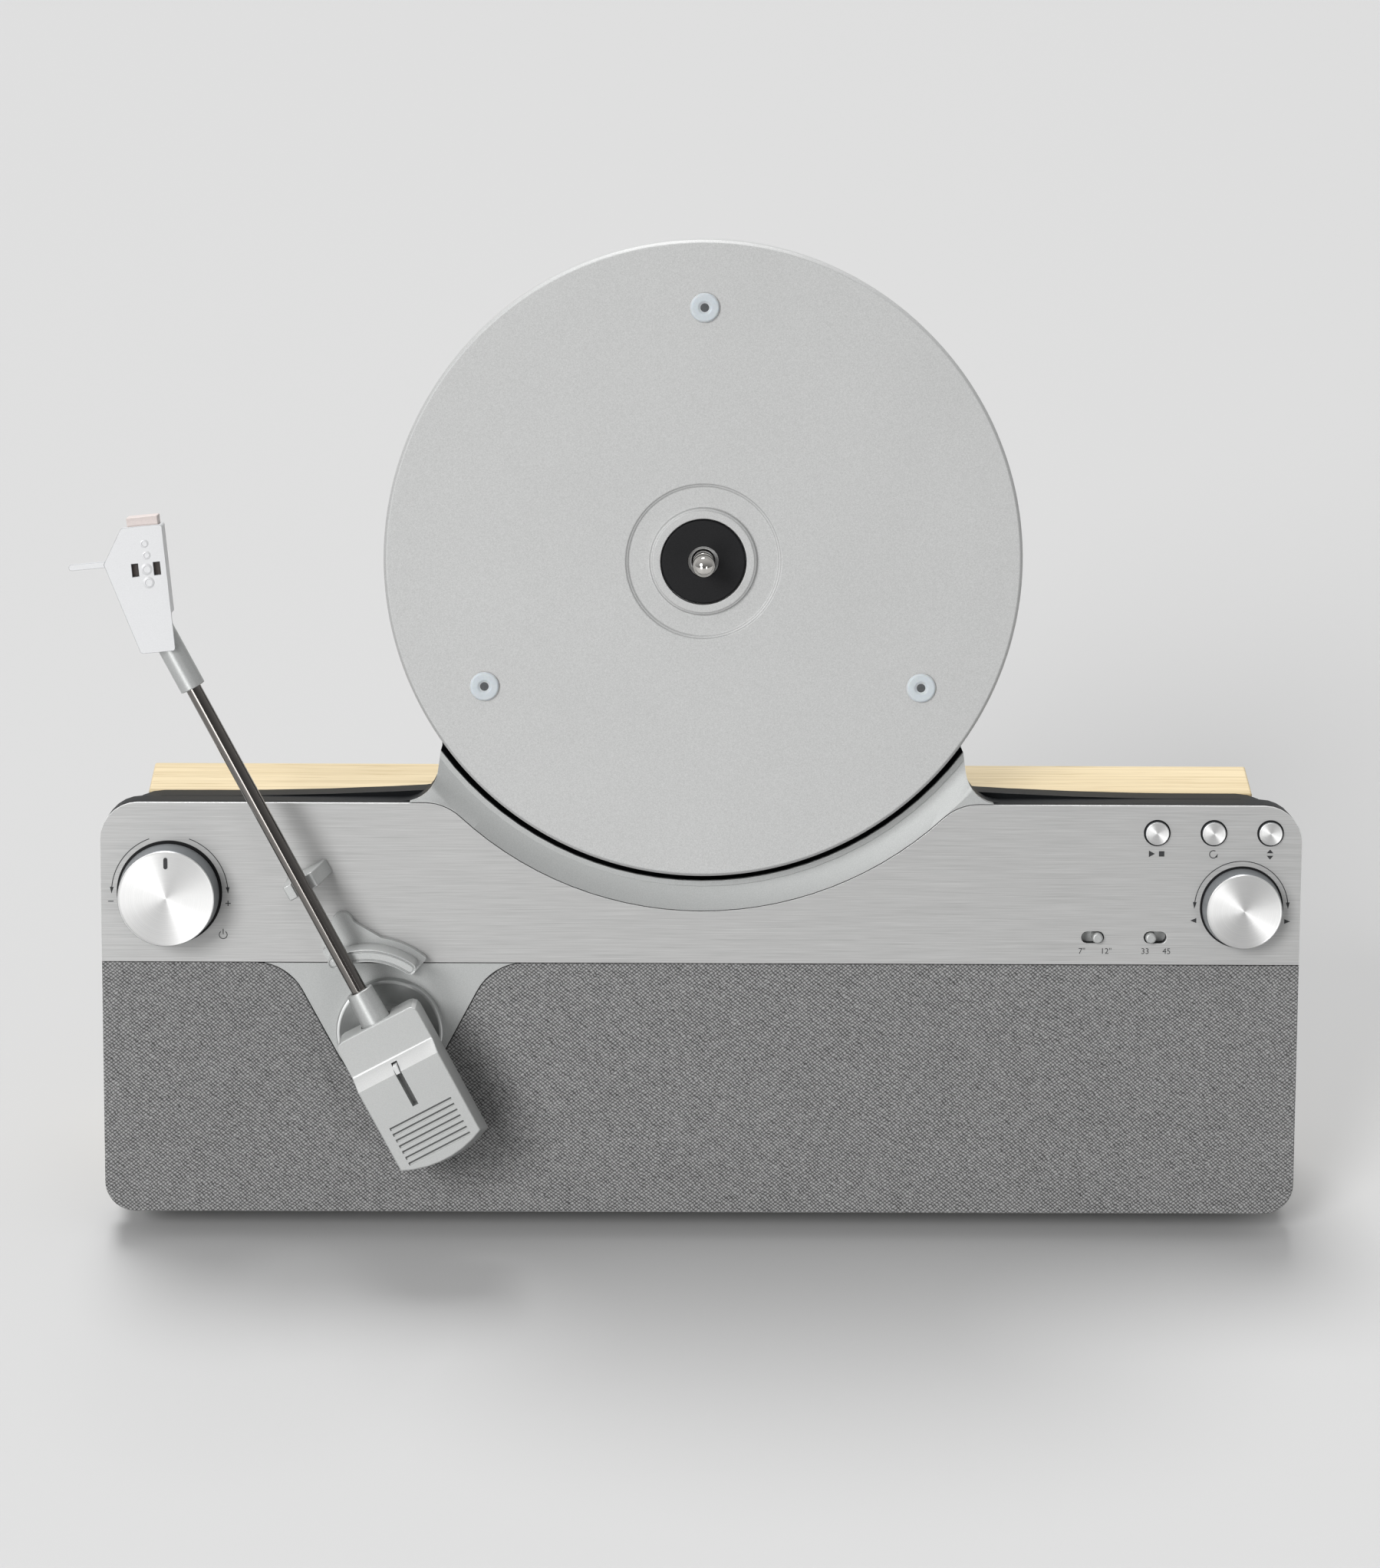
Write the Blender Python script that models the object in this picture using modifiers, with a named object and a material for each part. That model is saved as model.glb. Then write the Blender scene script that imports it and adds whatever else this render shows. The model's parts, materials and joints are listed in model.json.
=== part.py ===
# Vertical record player: a leaning front with a platter, tonearm and controls on an oak cabinet
#
# Frames used below:
#   world   X to the right, Y to the back, Z up, origin under the middle of the player
#   face    on the leaning front: X to the right, Y up the slope, Z out of the front
#   arm     on the face, at the arm's pivot: X to the arm's right, Y along the arm, Z out of the front

import math

import bmesh
import bpy
from mathutils import Matrix, Vector

mm = 0.001

# Driving sizes of the whole player
body_width = 395.0 * mm
grille_height = 84.6 * mm
panel_height = 53.1 * mm
lean_angle = math.radians(16.5)
foot_height = 6.0 * mm
front_edge_height = 10.0 * mm
cabinet_inset = 13.4 * mm
cabinet_depth = 85.9 * mm
platter_radius = 103.6 * mm
platter_overlap = 22.9 * mm
arm_inset = 94.9 * mm
arm_drop = 22.7 * mm
arm_rest_angle = math.radians(28.0)
arm_height = 18.6 * mm

# Fits
seat_gap = 0.3 * mm
hole_clearance = 0.3 * mm
overrun = 3.0 * mm
weld = 0.002 * mm

# Layers of the leaning front, from the visible face inwards
sheet_thickness = 1.3 * mm
carrier_thickness = 2.5 * mm
cloth_recess = 0.1 * mm
cloth_thickness = 0.7 * mm
board_thickness = 3.0 * mm
frame_depth = 9.6 * mm
chassis_depth = 11.7 * mm
chassis_web = 3.0 * mm

# Outlines of the front
panel_corner_radius = 12.5 * mm
grille_corner_radius = 10.0 * mm
chassis_inset = 2.0 * mm
chassis_corner_radius = 17.0 * mm
chassis_foot_radius = 7.0 * mm
chassis_flat = 12.8 * mm
chassis_sweep_rise = 2.5 * mm
chassis_fillet = 6.0 * mm
chassis_bottom_rise = 4.0 * mm
neck_inset = 21.0 * mm
neck_lean_angle = math.radians(8.0)
neck_fillet = 12.0 * mm
well_clearance = 3.1 * mm
lip_width = 1.7 * mm
lip_depth = 2.3 * mm
cove_depth = 3.0 * mm
cove_width = 9.8 * mm
cove_middle_share = 0.72
panel_fillet = 17.0 * mm
drum_inset = 7.6 * mm

# Windows in the frame and in the chassis
frame_rim = 5.0 * mm
frame_top_rim = 3.5 * mm
frame_side_rim = 14.5 * mm
button_pocket_overlap = 4.0 * mm
button_pocket_floor = 2.0 * mm
chassis_rim = 5.0 * mm
chassis_drum_rim = 8.0 * mm
seam_bar_below = 4.6 * mm
seam_bar_above = 4.4 * mm
well_wall = 5.0 * mm
window_radius = 3.0 * mm
bush_wall = 4.0 * mm

# Cabinet and back
cabinet_wall = 9.0 * mm
back_thickness = 4.0 * mm
back_recess = 2.0 * mm
foot_radius = 8.0 * mm
foot_taper = 1.2 * mm
foot_side_inset = 19.0 * mm
foot_front_inset = 1.5 * mm
foot_back_inset = 2.0 * mm

# Loudspeakers
speaker_inset = 45.2 * mm
speaker_height = 38.0 * mm
speaker_radius = 30.0 * mm
speaker_rim = 3.7 * mm
speaker_flange = 2.0 * mm
speaker_neck_radius = 17.0 * mm
speaker_neck_depth = 15.6 * mm
magnet_depth = 14.0 * mm
basket_wall = 2.0 * mm
cone_thickness = 1.1 * mm
cone_depth = 10.0 * mm
cone_neck_radius = 6.8 * mm

# Platter, hub and drive
platter_lift = 6.6 * mm
platter_thickness = 4.0 * mm
platter_rim_depth = 14.0 * mm
platter_rim_wall = 4.0 * mm
platter_bevel = 0.9 * mm
recess_radius = 25.2 * mm
recess_depth = 1.0 * mm
recess_slope = 0.8 * mm
hub_ring_radius = 17.4 * mm
hub_ring_rise = 0.8 * mm
hub_ring_slope = 0.5 * mm
hub_disc_radius = 13.7 * mm
hub_disc_drop = 1.7 * mm
hub_disc_rise = 0.4 * mm
hub_disc_chamfer = 0.4 * mm
hub_hole_radius = 5.0 * mm
hub_boss_radius = 9.0 * mm
hub_boss_depth = 5.6 * mm
pulley_spread = 11.0 * mm
drive_wall = 3.5 * mm
drive_depth = 11.6 * mm
pad_circle = 82.0 * mm
pad_radius = 4.8 * mm
pad_height = 0.9 * mm
pad_round = 0.5 * mm
pad_dimple_radius = 1.6 * mm
pad_dimple_depth = 0.6 * mm
pad_stem_radius = 1.9 * mm
spindle_radius = 3.6 * mm
spindle_tip_height = 23.35 * mm
spindle_ball_radius = 3.7 * mm
spindle_ball_under = math.radians(55.0)
spindle_waist_radius = 2.4 * mm
spindle_waist = 2.2 * mm
spindle_depth = 36.0 * mm
bearing_wall = 4.0 * mm
bearing_top = 9.5 * mm
bearing_flange = 2.5 * mm
bearing_flange_radius = 14.0 * mm
bearing_floor = 2.0 * mm
housing_clearance = 6.7 * mm
housing_depth = 17.0 * mm
housing_wall = 2.0 * mm
pocket_ledge = 3.0 * mm
motor_edge_gap = 3.0 * mm
motor_radius = 12.0 * mm
motor_length = 16.0 * mm
motor_boss_radius = 5.0 * mm
motor_shaft_radius = 1.0 * mm
pulley_radius = 4.5 * mm
pulley_flange = 0.7 * mm
pulley_lip = 1.0 * mm
pulley_front = 1.4 * mm
belt_width = 4.0 * mm
belt_thickness = 0.8 * mm
belt_drop = 3.6 * mm

# Arm mount, bearing and lift on the front
mount_radius = 19.1 * mm
mount_flare_angle = math.radians(28.2)
mount_fillet = 18.0 * mm
base_ring_radius = 17.6 * mm
base_ring_height = 4.2 * mm
base_ring_floor = 1.5 * mm
base_ring_rim = 1.2 * mm
base_ring_chamfer = 0.4 * mm
turret_radius = 8.6 * mm
turret_shaft_radius = 4.7 * mm
turret_shaft_depth = 13.0 * mm
turret_top = 9.5 * mm
bush_radius = 7.0 * mm
yoke_floor = 2.5 * mm
yoke_half_length = 5.0 * mm
yoke_half_width = 11.4 * mm
yoke_wall = 2.2 * mm
yoke_head = 3.9 * mm
axle_radius = 1.4 * mm
lift_centre_left = 6.5 * mm
lift_centre_rise = 3.0 * mm
lift_radius = 24.8 * mm
rail_width = 4.0 * mm
lift_plate_width = 8.0 * mm
lift_plate_thickness = 3.8 * mm
lift_plate_corner = 1.6 * mm
rail_end_inset = 3.0 * mm
lift_left_angle = math.radians(33.0)
lift_right_angle = math.radians(41.0)
lift_shoulder_angle = math.radians(8.0)
blunt_angle = math.radians(150.0)
lift_apex_left = 8.8 * mm
lift_apex_rise = 33.5 * mm
lift_apex_radius = 3.5 * mm
lift_flank_left = 16.0 * mm
lift_flank_rise = 27.0 * mm
lift_pin_radius = 1.1 * mm
lift_pin_angle = math.radians(22.0)
lift_pin_foot = 0.6 * mm
rest_reach = 55.4 * mm
rest_length = 5.2 * mm
rest_left = 6.0 * mm
rest_right = 8.6 * mm
rest_top_right = 4.3 * mm
rest_lip_height = 17.6 * mm

# Tonearm, measured in the arm frame
tube_radius = 2.55 * mm
tube_bore = 2.0 * mm
collar_reach = 19.1 * mm
collar_tip_radius = 4.45 * mm
collar_root_radius = 5.05 * mm
collar_bore_depth = 8.0 * mm
sleeve_lap = 15.7 * mm
sleeve_length = 23.0 * mm
sleeve_radius = 4.2 * mm
sleeve_bore_depth = 13.2 * mm
block_half_width = 14.7 * mm
block_front = 7.9 * mm
block_corner = 38.1 * mm
block_sagitta = 3.4 * mm
block_bottom = 11.5 * mm
block_low_top = 26.0 * mm
block_high_top = 30.3 * mm
block_step_front = 4.4 * mm
block_step_back = 8.9 * mm
block_draft = 4.0 * mm
block_wall = 1.8 * mm
block_roof = 2.0 * mm
block_corner_radius = 2.8 * mm
slot_front = 5.6 * mm
slot_back = 21.0 * mm
slot_half_width = 1.05 * mm
rib_first = 24.4 * mm
rib_spacing = 2.16 * mm
rib_half_length = 11.3 * mm
rib_width = 1.0 * mm
rib_depth = 0.7 * mm
rib_count = 7
slider_length = 3.0 * mm
slider_start = 0.7 * mm
slider_rise = 0.8 * mm
slider_foot_front = 11.4 * mm
slider_foot_back = 12.7 * mm
slider_foot_half_width = 2.5 * mm
slider_foot_thickness = 2.4 * mm
carriage_half_width = 8.9 * mm
carriage_back = 13.0 * mm
carriage_bottom = 13.0 * mm
carriage_top = 21.0 * mm
weight_half_width = 10.5 * mm
weight_back = 34.5 * mm
weight_bottom = 13.5 * mm

# Headshell, measured in its own frame at the middle of its lower end
head_side_shift = 3.5 * mm
head_reach = 147.5 * mm
head_offset_angle = math.radians(22.4)
head_top = 24.7 * mm
head_plate = 1.5 * mm
head_depth = 9.6 * mm
head_half_end = 5.5 * mm
head_length = 40.8 * mm
head_top_left = 7.4 * mm
head_elbow_left = 14.2 * mm
head_elbow_rise = 29.6 * mm
head_wall = 0.9 * mm
head_open_end = 12.0 * mm
head_axis_shift = 0.9 * mm
head_slot_apart = 3.5 * mm
head_slot_width = 2.2 * mm
head_slot_length = 4.2 * mm
head_slot_rise = 26.9 * mm
finger_reach = 25.5 * mm
finger_width = 1.9 * mm
finger_thickness = 1.2 * mm
finger_root = 2.0 * mm
cartridge_left = 5.7 * mm
cartridge_right = 4.3 * mm
cartridge_back = 14.5 * mm
cartridge_proud = 2.9 * mm
cartridge_bottom = 15.6 * mm
stylus_back_from_tip = 2.7 * mm
stylus_body_radius = 2.2 * mm
stylus_body_bottom = 13.0 * mm
stylus_tip_height = 9.5 * mm
stylus_tip_radius = 0.4 * mm

# Knobs
volume_inset = 22.6 * mm
volume_rise = 23.1 * mm
volume_radius = 15.9 * mm
volume_height = 11.9 * mm
volume_gap = 1.5 * mm
knob_flare = 0.6 * mm
knob_bevel = 0.5 * mm
knob_bore_roof = 2.6 * mm
pointer_length = 3.8 * mm
pointer_width = 1.3 * mm
pointer_depth = 0.5 * mm
pointer_edge = 2.3 * mm
shaft_radius = 3.0 * mm
shaft_depth = 8.0 * mm
volume_shaft_top = 9.0 * mm
encoder_width = 12.0 * mm
encoder_depth = 7.0 * mm
jog_inset = 19.5 * mm
jog_rise = 19.3 * mm
jog_radius = 12.5 * mm
jog_height = 8.4 * mm
jog_gap = 0.6 * mm

# Buttons and slide switches
button_inset = 10.5 * mm
button_spacing = 18.65 * mm
button_drop = 9.05 * mm
button_radius = 3.85 * mm
button_proud = 1.6 * mm
button_bevel = 0.4 * mm
button_flange_radius = 4.9 * mm
button_flange = 1.2 * mm
button_depth = 7.6 * mm
button_travel = 1.0 * mm
switch_rise = 9.05 * mm
speed_inset = 47.75 * mm
switch_spacing = 20.65 * mm
switch_slot_length = 7.6 * mm
switch_slot_width = 4.1 * mm
switch_radius = 1.75 * mm
switch_proud = 1.9 * mm
switch_travel = 3.1 * mm
switch_foot_length = 12.0 * mm
switch_foot_width = 5.4 * mm
switch_foot_thickness = 1.2 * mm
switch_body_height = 3.2 * mm
switch_body_length = 15.6 * mm
switch_body_width = 6.4 * mm
button_body_width = 6.0 * mm

# Boards and sockets
board_plate = 1.6 * mm
control_board_depth = 11.6 * mm
control_board_margin = 1.0 * mm
control_post_radius = 1.8 * mm
control_post_inset = 3.0 * mm
control_board_left = 7.0 * mm
main_board_width = 150.0 * mm
main_board_depth = 27.0 * mm
main_board_front_gap = 1.1 * mm
main_board_shift = 40.0 * mm
main_post_height = 5.0 * mm
main_post_radius = 3.0 * mm
main_post_inset = 5.0 * mm
coil_width = 24.0 * mm
coil_height = 18.0 * mm
socket_height = 32.0 * mm
inlet_inset = 60.0 * mm
inlet_width = 18.0 * mm
inlet_height = 11.0 * mm
inlet_depth = 16.0 * mm
inlet_wall = 2.0 * mm
inlet_flange = 2.0 * mm
jack_inset = 120.0 * mm
jack_spacing = 16.0 * mm
jack_radius = 4.2 * mm
jack_bore = 1.7 * mm
jack_proud = 7.0 * mm
jack_plate_width = 34.0 * mm
jack_plate_height = 14.0 * mm
jack_plate_thickness = 2.0 * mm
jack_body_depth = 8.0 * mm

# How finely round shapes are divided
arc_steps = 7
ease_steps = 4
well_steps = 28
fine_steps = 72
round_steps = 36
small_steps = 18
pin_steps = 12

# Places that follow from the sizes above
half_width = body_width / 2
seam = grille_height
top_edge = grille_height + panel_height
platter_rise = platter_radius - platter_overlap
platter_y = top_edge + platter_rise
well_radius = platter_radius + well_clearance
neck_half = well_radius - neck_inset
drum_radius = platter_radius - drum_inset
cove_radius = well_radius + cove_width
lining_depth = sheet_thickness + seat_gap + carrier_thickness
frame_front = -(lining_depth + seat_gap)
frame_back = frame_front - frame_depth
chassis_front = frame_back - seat_gap
chassis_back = chassis_front - chassis_depth
cabinet_plane = chassis_back - seat_gap
arm_x = arm_inset - half_width
arm_y = seam - arm_drop
volume_x = volume_inset - half_width
volume_y = seam + volume_rise
jog_x = half_width - jog_inset
jog_y = seam + jog_rise
button_y = top_edge - button_drop
button_places = [half_width - button_inset - step * button_spacing for step in (2, 1, 0)]
switch_y = seam + switch_rise
speed_x = half_width - speed_inset
size_x = speed_x - switch_spacing
speaker_x = half_width - speaker_inset
switch_shift = switch_travel / 2
cabinet_half = half_width - cabinet_inset
chassis_half = half_width - chassis_inset
chassis_sweep = chassis_half - chassis_corner_radius - chassis_flat - neck_half
web_back = chassis_front - chassis_web
housing_radius = platter_rise - housing_clearance
pocket_radius = housing_radius - pocket_ledge
motor_reach = pocket_radius - motor_edge_gap - motor_radius
drive_radius = motor_reach - pulley_spread
sleeve_start = head_reach - sleeve_lap


# Scene, frames and materials

def clear_scene():
    for item in list(bpy.data.objects):
        bpy.data.objects.remove(item, do_unlink=True)


def new_collection(name):
    collection = bpy.data.collections.new(name)
    bpy.context.scene.collection.children.link(collection)
    return collection


clear_scene()
parts = new_collection("vertical_record_player")
cutters = new_collection("cutters")


def empty(name, parent=None, place=(0, 0, 0), turn=(0, 0, 0)):
    item = bpy.data.objects.new(name, None)
    cutters.objects.link(item)
    item.parent = parent
    item.location = place
    item.rotation_euler = turn
    return item


def material(name, colour, roughness, metallic):
    item = bpy.data.materials.new(name)
    item.use_nodes = True
    shader = item.node_tree.nodes["Principled BSDF"]
    shader.inputs["Base Color"].default_value = (*colour, 1.0)
    shader.inputs["Roughness"].default_value = roughness
    shader.inputs["Metallic"].default_value = metallic
    return item


brushed = material("brushed_aluminium", (0.62, 0.62, 0.62), 0.35, 1.0)
silver = material("silver_paint", (0.60, 0.61, 0.60), 0.45, 0.6)
spun = material("spun_aluminium", (0.66, 0.66, 0.66), 0.25, 1.0)
chrome = material("chrome", (0.75, 0.74, 0.72), 0.08, 1.0)
black_plastic = material("black_plastic", (0.02, 0.02, 0.022), 0.5, 0.0)
oak = material("oak", (0.70, 0.56, 0.33), 0.55, 0.0)
cloth_grey = material("grille_cloth", (0.26, 0.26, 0.26), 0.9, 0.0)
rubber = material("rubber", (0.03, 0.03, 0.03), 0.8, 0.0)
silicone = material("silicone", (0.75, 0.77, 0.79), 0.4, 0.0)
steel = material("steel", (0.45, 0.45, 0.46), 0.35, 1.0)
board_green = material("board_green", (0.03, 0.16, 0.07), 0.5, 0.0)
fibre = material("fibreboard", (0.25, 0.18, 0.11), 0.8, 0.0)
paper_black = material("paper_cone", (0.03, 0.03, 0.03), 0.9, 0.0)
pale_plastic = material("pale_plastic", (0.72, 0.66, 0.64), 0.45, 0.0)
red_plastic = material("red_plastic", (0.45, 0.04, 0.03), 0.45, 0.0)


# Outlines, as lists of points that run counter-clockwise

def arc(centre, radius, start, end, points=arc_steps):
    places = []
    for step in range(points + 1):
        angle = start + (end - start) * step / points
        places.append((centre[0] + radius * math.cos(angle), centre[1] + radius * math.sin(angle)))
    return places


def circle(x, y, radius, points=small_steps):
    return arc((x, y), radius, 0, math.tau, points)[:-1]


def rounded_box(left, right, low, high, radius):
    quarter = math.pi / 2
    corners = ((right, low), (right, high), (left, high), (left, low))
    places = []
    for step, (x, y) in enumerate(corners):
        centre = (x + radius if x == left else x - radius, y + radius if y == low else y - radius)
        places += arc(centre, radius, (step - 1) * quarter, step * quarter, arc_steps // 2)
    return places


def centred_box(x, y, width, height):
    return [(x - width / 2, y - height / 2), (x + width / 2, y - height / 2),
            (x + width / 2, y + height / 2), (x - width / 2, y + height / 2)]


def mirrored(places):
    return [(-x, y) for x, y in reversed(places)]


def lower_corners(half, low, radius):
    right = arc((half - radius, low + radius), radius, -math.pi / 2, 0)
    return mirrored(right) + right


def upper_corner(half, high, radius):
    return arc((half - radius, high - radius), radius, 0, math.pi / 2)


def neck_side(from_angle=-math.pi / 2):
    """The fillet from the top edge up into the right side of the neck, which leans in to its tip."""
    tip = platter_y - math.sqrt(well_radius ** 2 - neck_half ** 2)
    centre_y = top_edge + neck_fillet
    flank = neck_half + (tip - centre_y) * math.tan(neck_lean_angle)
    centre_x = flank + neck_fillet / math.cos(neck_lean_angle)
    return arc((centre_x, centre_y), neck_fillet, from_angle, neck_lean_angle - math.pi)


def well_arc(radius):
    """The lower arc round the platter, from the right side of the neck to the left one."""
    angle = math.acos(neck_half / radius)
    return arc((0, platter_y), radius, -angle, angle - math.pi, well_steps)


def front_frame_outline():
    right = upper_corner(half_width, top_edge, panel_corner_radius) + neck_side()
    low = lower_corners(half_width, 0, grille_corner_radius)
    return low + right + well_arc(well_radius) + mirrored(right)


def chassis_side():
    """The chassis's top edge, which rises gently towards the neck and turns up into it by a small fillet."""
    radius = (chassis_sweep ** 2 + chassis_sweep_rise ** 2) / (2 * chassis_sweep_rise)
    turn = math.asin((chassis_sweep - chassis_fillet) / (radius - chassis_fillet))
    rise = arc((neck_half + chassis_sweep, top_edge + radius), radius, -math.pi / 2, -math.pi / 2 - turn)
    x, y = rise[-1]
    centre = (x + chassis_fillet * math.sin(turn), y + chassis_fillet * math.cos(turn))
    return rise + arc(centre, chassis_fillet, -math.pi / 2 - turn, -math.pi)[1:]


def chassis_outline():
    right = upper_corner(chassis_half, top_edge, chassis_corner_radius) + chassis_side()
    angle = math.acos(neck_half / drum_radius)
    drum = arc((0, platter_y), drum_radius, -angle, math.pi + angle, 2 * well_steps)
    corners = lower_corners(chassis_half, chassis_bottom_rise, chassis_foot_radius)
    return corners + right + drum + mirrored(right)


def fillet_place():
    """Centre of the round corner where the panel's top edge turns into its dip, and the angle of its end."""
    drop = platter_y - top_edge + panel_fillet
    x = math.sqrt((cove_radius + panel_fillet) ** 2 - drop ** 2)
    return (x, top_edge - panel_fillet), math.atan2(drop, -x)


def panel_outline():
    centre, end = fillet_place()
    right = upper_corner(half_width, top_edge, panel_corner_radius)
    right += arc(centre, panel_fillet, math.pi / 2, end)
    dip = arc((0, platter_y), cove_radius, end - math.pi, -end, well_steps)[1:-1]
    return [(-half_width, seam), (half_width, seam)] + right + dip + mirrored(right)


def surround_outline():
    centre, end = fillet_place()
    tail = math.asin((neck_fillet - seat_gap) / neck_fillet) - math.pi
    right = neck_side(tail)
    dip = arc((0, platter_y), cove_radius - seat_gap, -end, end - math.pi, well_steps)[1:-1]
    corner = arc(centre, panel_fillet + seat_gap, end, math.pi / 2)
    return right + well_arc(well_radius) + mirrored(right) + mirrored(corner) + dip + corner


def tongue(offset, last):
    """The tongue that carries the arm, from its left corner at the seam round its end to the right one."""
    rise = arm_drop - mount_fillet
    reach = (mount_radius + mount_fillet + rise * math.sin(mount_flare_angle)) / math.cos(mount_flare_angle)
    fillet = arc((arm_x + reach, arm_y + rise), mount_fillet - offset, math.pi - mount_flare_angle, last)
    low = math.pi + mount_flare_angle
    end = arc((arm_x, arm_y), mount_radius + offset, low, 3 * math.pi - low,
              well_steps // 2)
    left = [(2 * arm_x - x, y) for x, y in reversed(fillet)]
    return left + end + fillet


def mount_outline():
    return tongue(0, math.pi - math.asin((mount_fillet - seat_gap) / mount_fillet))


def grille_outline():
    high = seam - seat_gap
    right = lower_corners(half_width, 0, grille_corner_radius) + [(half_width, high)]
    return right + list(reversed(tongue(seat_gap, math.pi / 2))) + [(-half_width, high)]


# Solids

def finish(name, mesh, look, parent, place=(0, 0, 0), turn=(0, 0, 0), smooth=True):
    item = bpy.data.objects.new(name, mesh)
    parts.objects.link(item)
    item.parent = parent
    item.location = place
    item.rotation_euler = turn
    mesh.materials.clear()
    mesh.materials.append(look)
    if smooth:
        mesh.shade_smooth()
        mesh.set_sharp_from_angle(angle=math.radians(35))
    return item


def plate_mesh(name, outlines, low, high):
    """A flat outline, with any holes as further outlines, filled and raised from low to high."""
    curve = bpy.data.curves.new(name, "CURVE")
    curve.dimensions = "2D"
    curve.fill_mode = "BOTH"
    curve.extrude = (high - low) / 2
    for places in outlines:
        spline = curve.splines.new("POLY")
        spline.points.add(len(places) - 1)
        for point, (x, y) in zip(spline.points, places):
            point.co = (x, y, 0, 1)
        spline.use_cyclic_u = True
    guide = bpy.data.objects.new(name + "_outline", curve)
    cutters.objects.link(guide)
    mesh = bpy.data.meshes.new_from_object(guide.evaluated_get(bpy.context.evaluated_depsgraph_get()))
    bpy.data.objects.remove(guide, do_unlink=True)
    bpy.data.curves.remove(curve)
    mesh.name = name
    solid = bmesh.new()
    solid.from_mesh(mesh)
    bmesh.ops.remove_doubles(solid, verts=solid.verts, dist=weld)
    bmesh.ops.translate(solid, verts=solid.verts, vec=(0, 0, (high + low) / 2))
    bmesh.ops.recalc_face_normals(solid, faces=solid.faces)
    if solid.calc_volume(signed=True) < 0:
        bmesh.ops.reverse_faces(solid, faces=solid.faces)
    solid.to_mesh(mesh)
    solid.free()
    return mesh


def plate(name, outlines, low, high, look, parent, place=(0, 0, 0), turn=(0, 0, 0)):
    return finish(name, plate_mesh(name, outlines, low, high), look, parent, place, turn, smooth=True)


def profile_mesh(name, profile, closed):
    """The profile as a wire of (radius, height) points, ready for a Screw modifier."""
    wire = bmesh.new()
    points = [wire.verts.new((radius, 0, height)) for radius, height in profile]
    for one, other in zip(points, points[1:]):
        wire.edges.new((one, other))
    if closed:
        wire.edges.new((points[-1], points[0]))
    mesh = bpy.data.meshes.new(name)
    wire.to_mesh(mesh)
    wire.free()
    return mesh


def turned(name, profile, look, parent, place=(0, 0, 0), turn=(0, 0, 0), steps=round_steps, closed=False):
    """A turned solid: the profile runs from the axis at the top, down the outside, to the axis below."""
    item = finish(name, profile_mesh(name, profile, closed), look, parent, place, turn, smooth=False)
    screw = item.modifiers.new("turn", "SCREW")
    screw.axis = "Z"
    screw.steps = steps
    screw.render_steps = steps
    screw.use_smooth_shade = True
    screw.use_merge_vertices = True
    screw.merge_threshold = weld
    return item


def box_mesh(name, left, right, low_y, high_y, low, high):
    cube = bmesh.new()
    bmesh.ops.create_cube(cube, size=1)
    scale = Matrix.Diagonal((right - left, high_y - low_y, high - low, 1))
    middle = Matrix.Translation(((left + right) / 2, (low_y + high_y) / 2, (low + high) / 2))
    bmesh.ops.transform(cube, matrix=middle @ scale, verts=cube.verts)
    mesh = bpy.data.meshes.new(name)
    cube.to_mesh(mesh)
    cube.free()
    return mesh


def box(name, left, right, low_y, high_y, low, high, look, parent, place=(0, 0, 0), turn=(0, 0, 0)):
    return finish(name, box_mesh(name, left, right, low_y, high_y, low, high), look, parent, place, turn)


def hide_as_cutter(item):
    parts.objects.unlink(item)
    cutters.objects.link(item)
    item.hide_render = True
    item.display_type = "WIRE"
    return item


def combine(item, other, operation):
    """Adds a Boolean with another object, which becomes a hidden cutter."""
    hide_as_cutter(other)
    change = item.modifiers.new(other.name, "BOOLEAN")
    change.operation = operation
    change.solver = "EXACT"
    change.object = other
    return item


def cut(item, other):
    return combine(item, other, "DIFFERENCE")


def add(item, other):
    return combine(item, other, "UNION")


# Frames

root = empty("player")
face = empty("face_frame", root, (0, 0, front_edge_height), (math.pi / 2 - lean_angle, 0, 0))
platter_axis = empty("platter_axis", face, (0, platter_y, 0))
pulley_axis = empty("pulley_axis", face, (0, platter_y + motor_reach, 0))
swing_axis = empty("swing_axis", face, (arm_x, arm_y, 0), (0, 0, arm_rest_angle))
tilt_axis = empty("tilt_axis", swing_axis, (0, 0, arm_height))
head_frame = empty("head_frame", tilt_axis, (-head_side_shift, head_reach, 0), (0, 0, -head_offset_angle))
volume_axis = empty("volume_axis", face, (volume_x, volume_y, 0))
jog_axis = empty("jog_axis", face, (jog_x, jog_y, 0))


def slope_point(up, out):
    """Y and Z in the root frame of a point on the face, from its way up the slope and out of it."""
    y = up * math.sin(lean_angle) - out * math.cos(lean_angle)
    z = front_edge_height + up * math.cos(lean_angle) + out * math.sin(lean_angle)
    return y, z


cabinet_top = slope_point(top_edge, cabinet_plane)[1]


def plane_y(z, out):
    """Y of the leaning plane at depth out, at height z."""
    up = (z - front_edge_height - out * math.sin(lean_angle)) / math.cos(lean_angle)
    return slope_point(up, out)[0]


# Cabinet, back and feet

def side_profile(low, high):
    """The cabinet's side view as (Y, Z) points between two heights."""
    return [(plane_y(low, cabinet_plane), low), (cabinet_depth, low), (cabinet_depth, high),
            (plane_y(high, cabinet_plane), high)]


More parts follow.
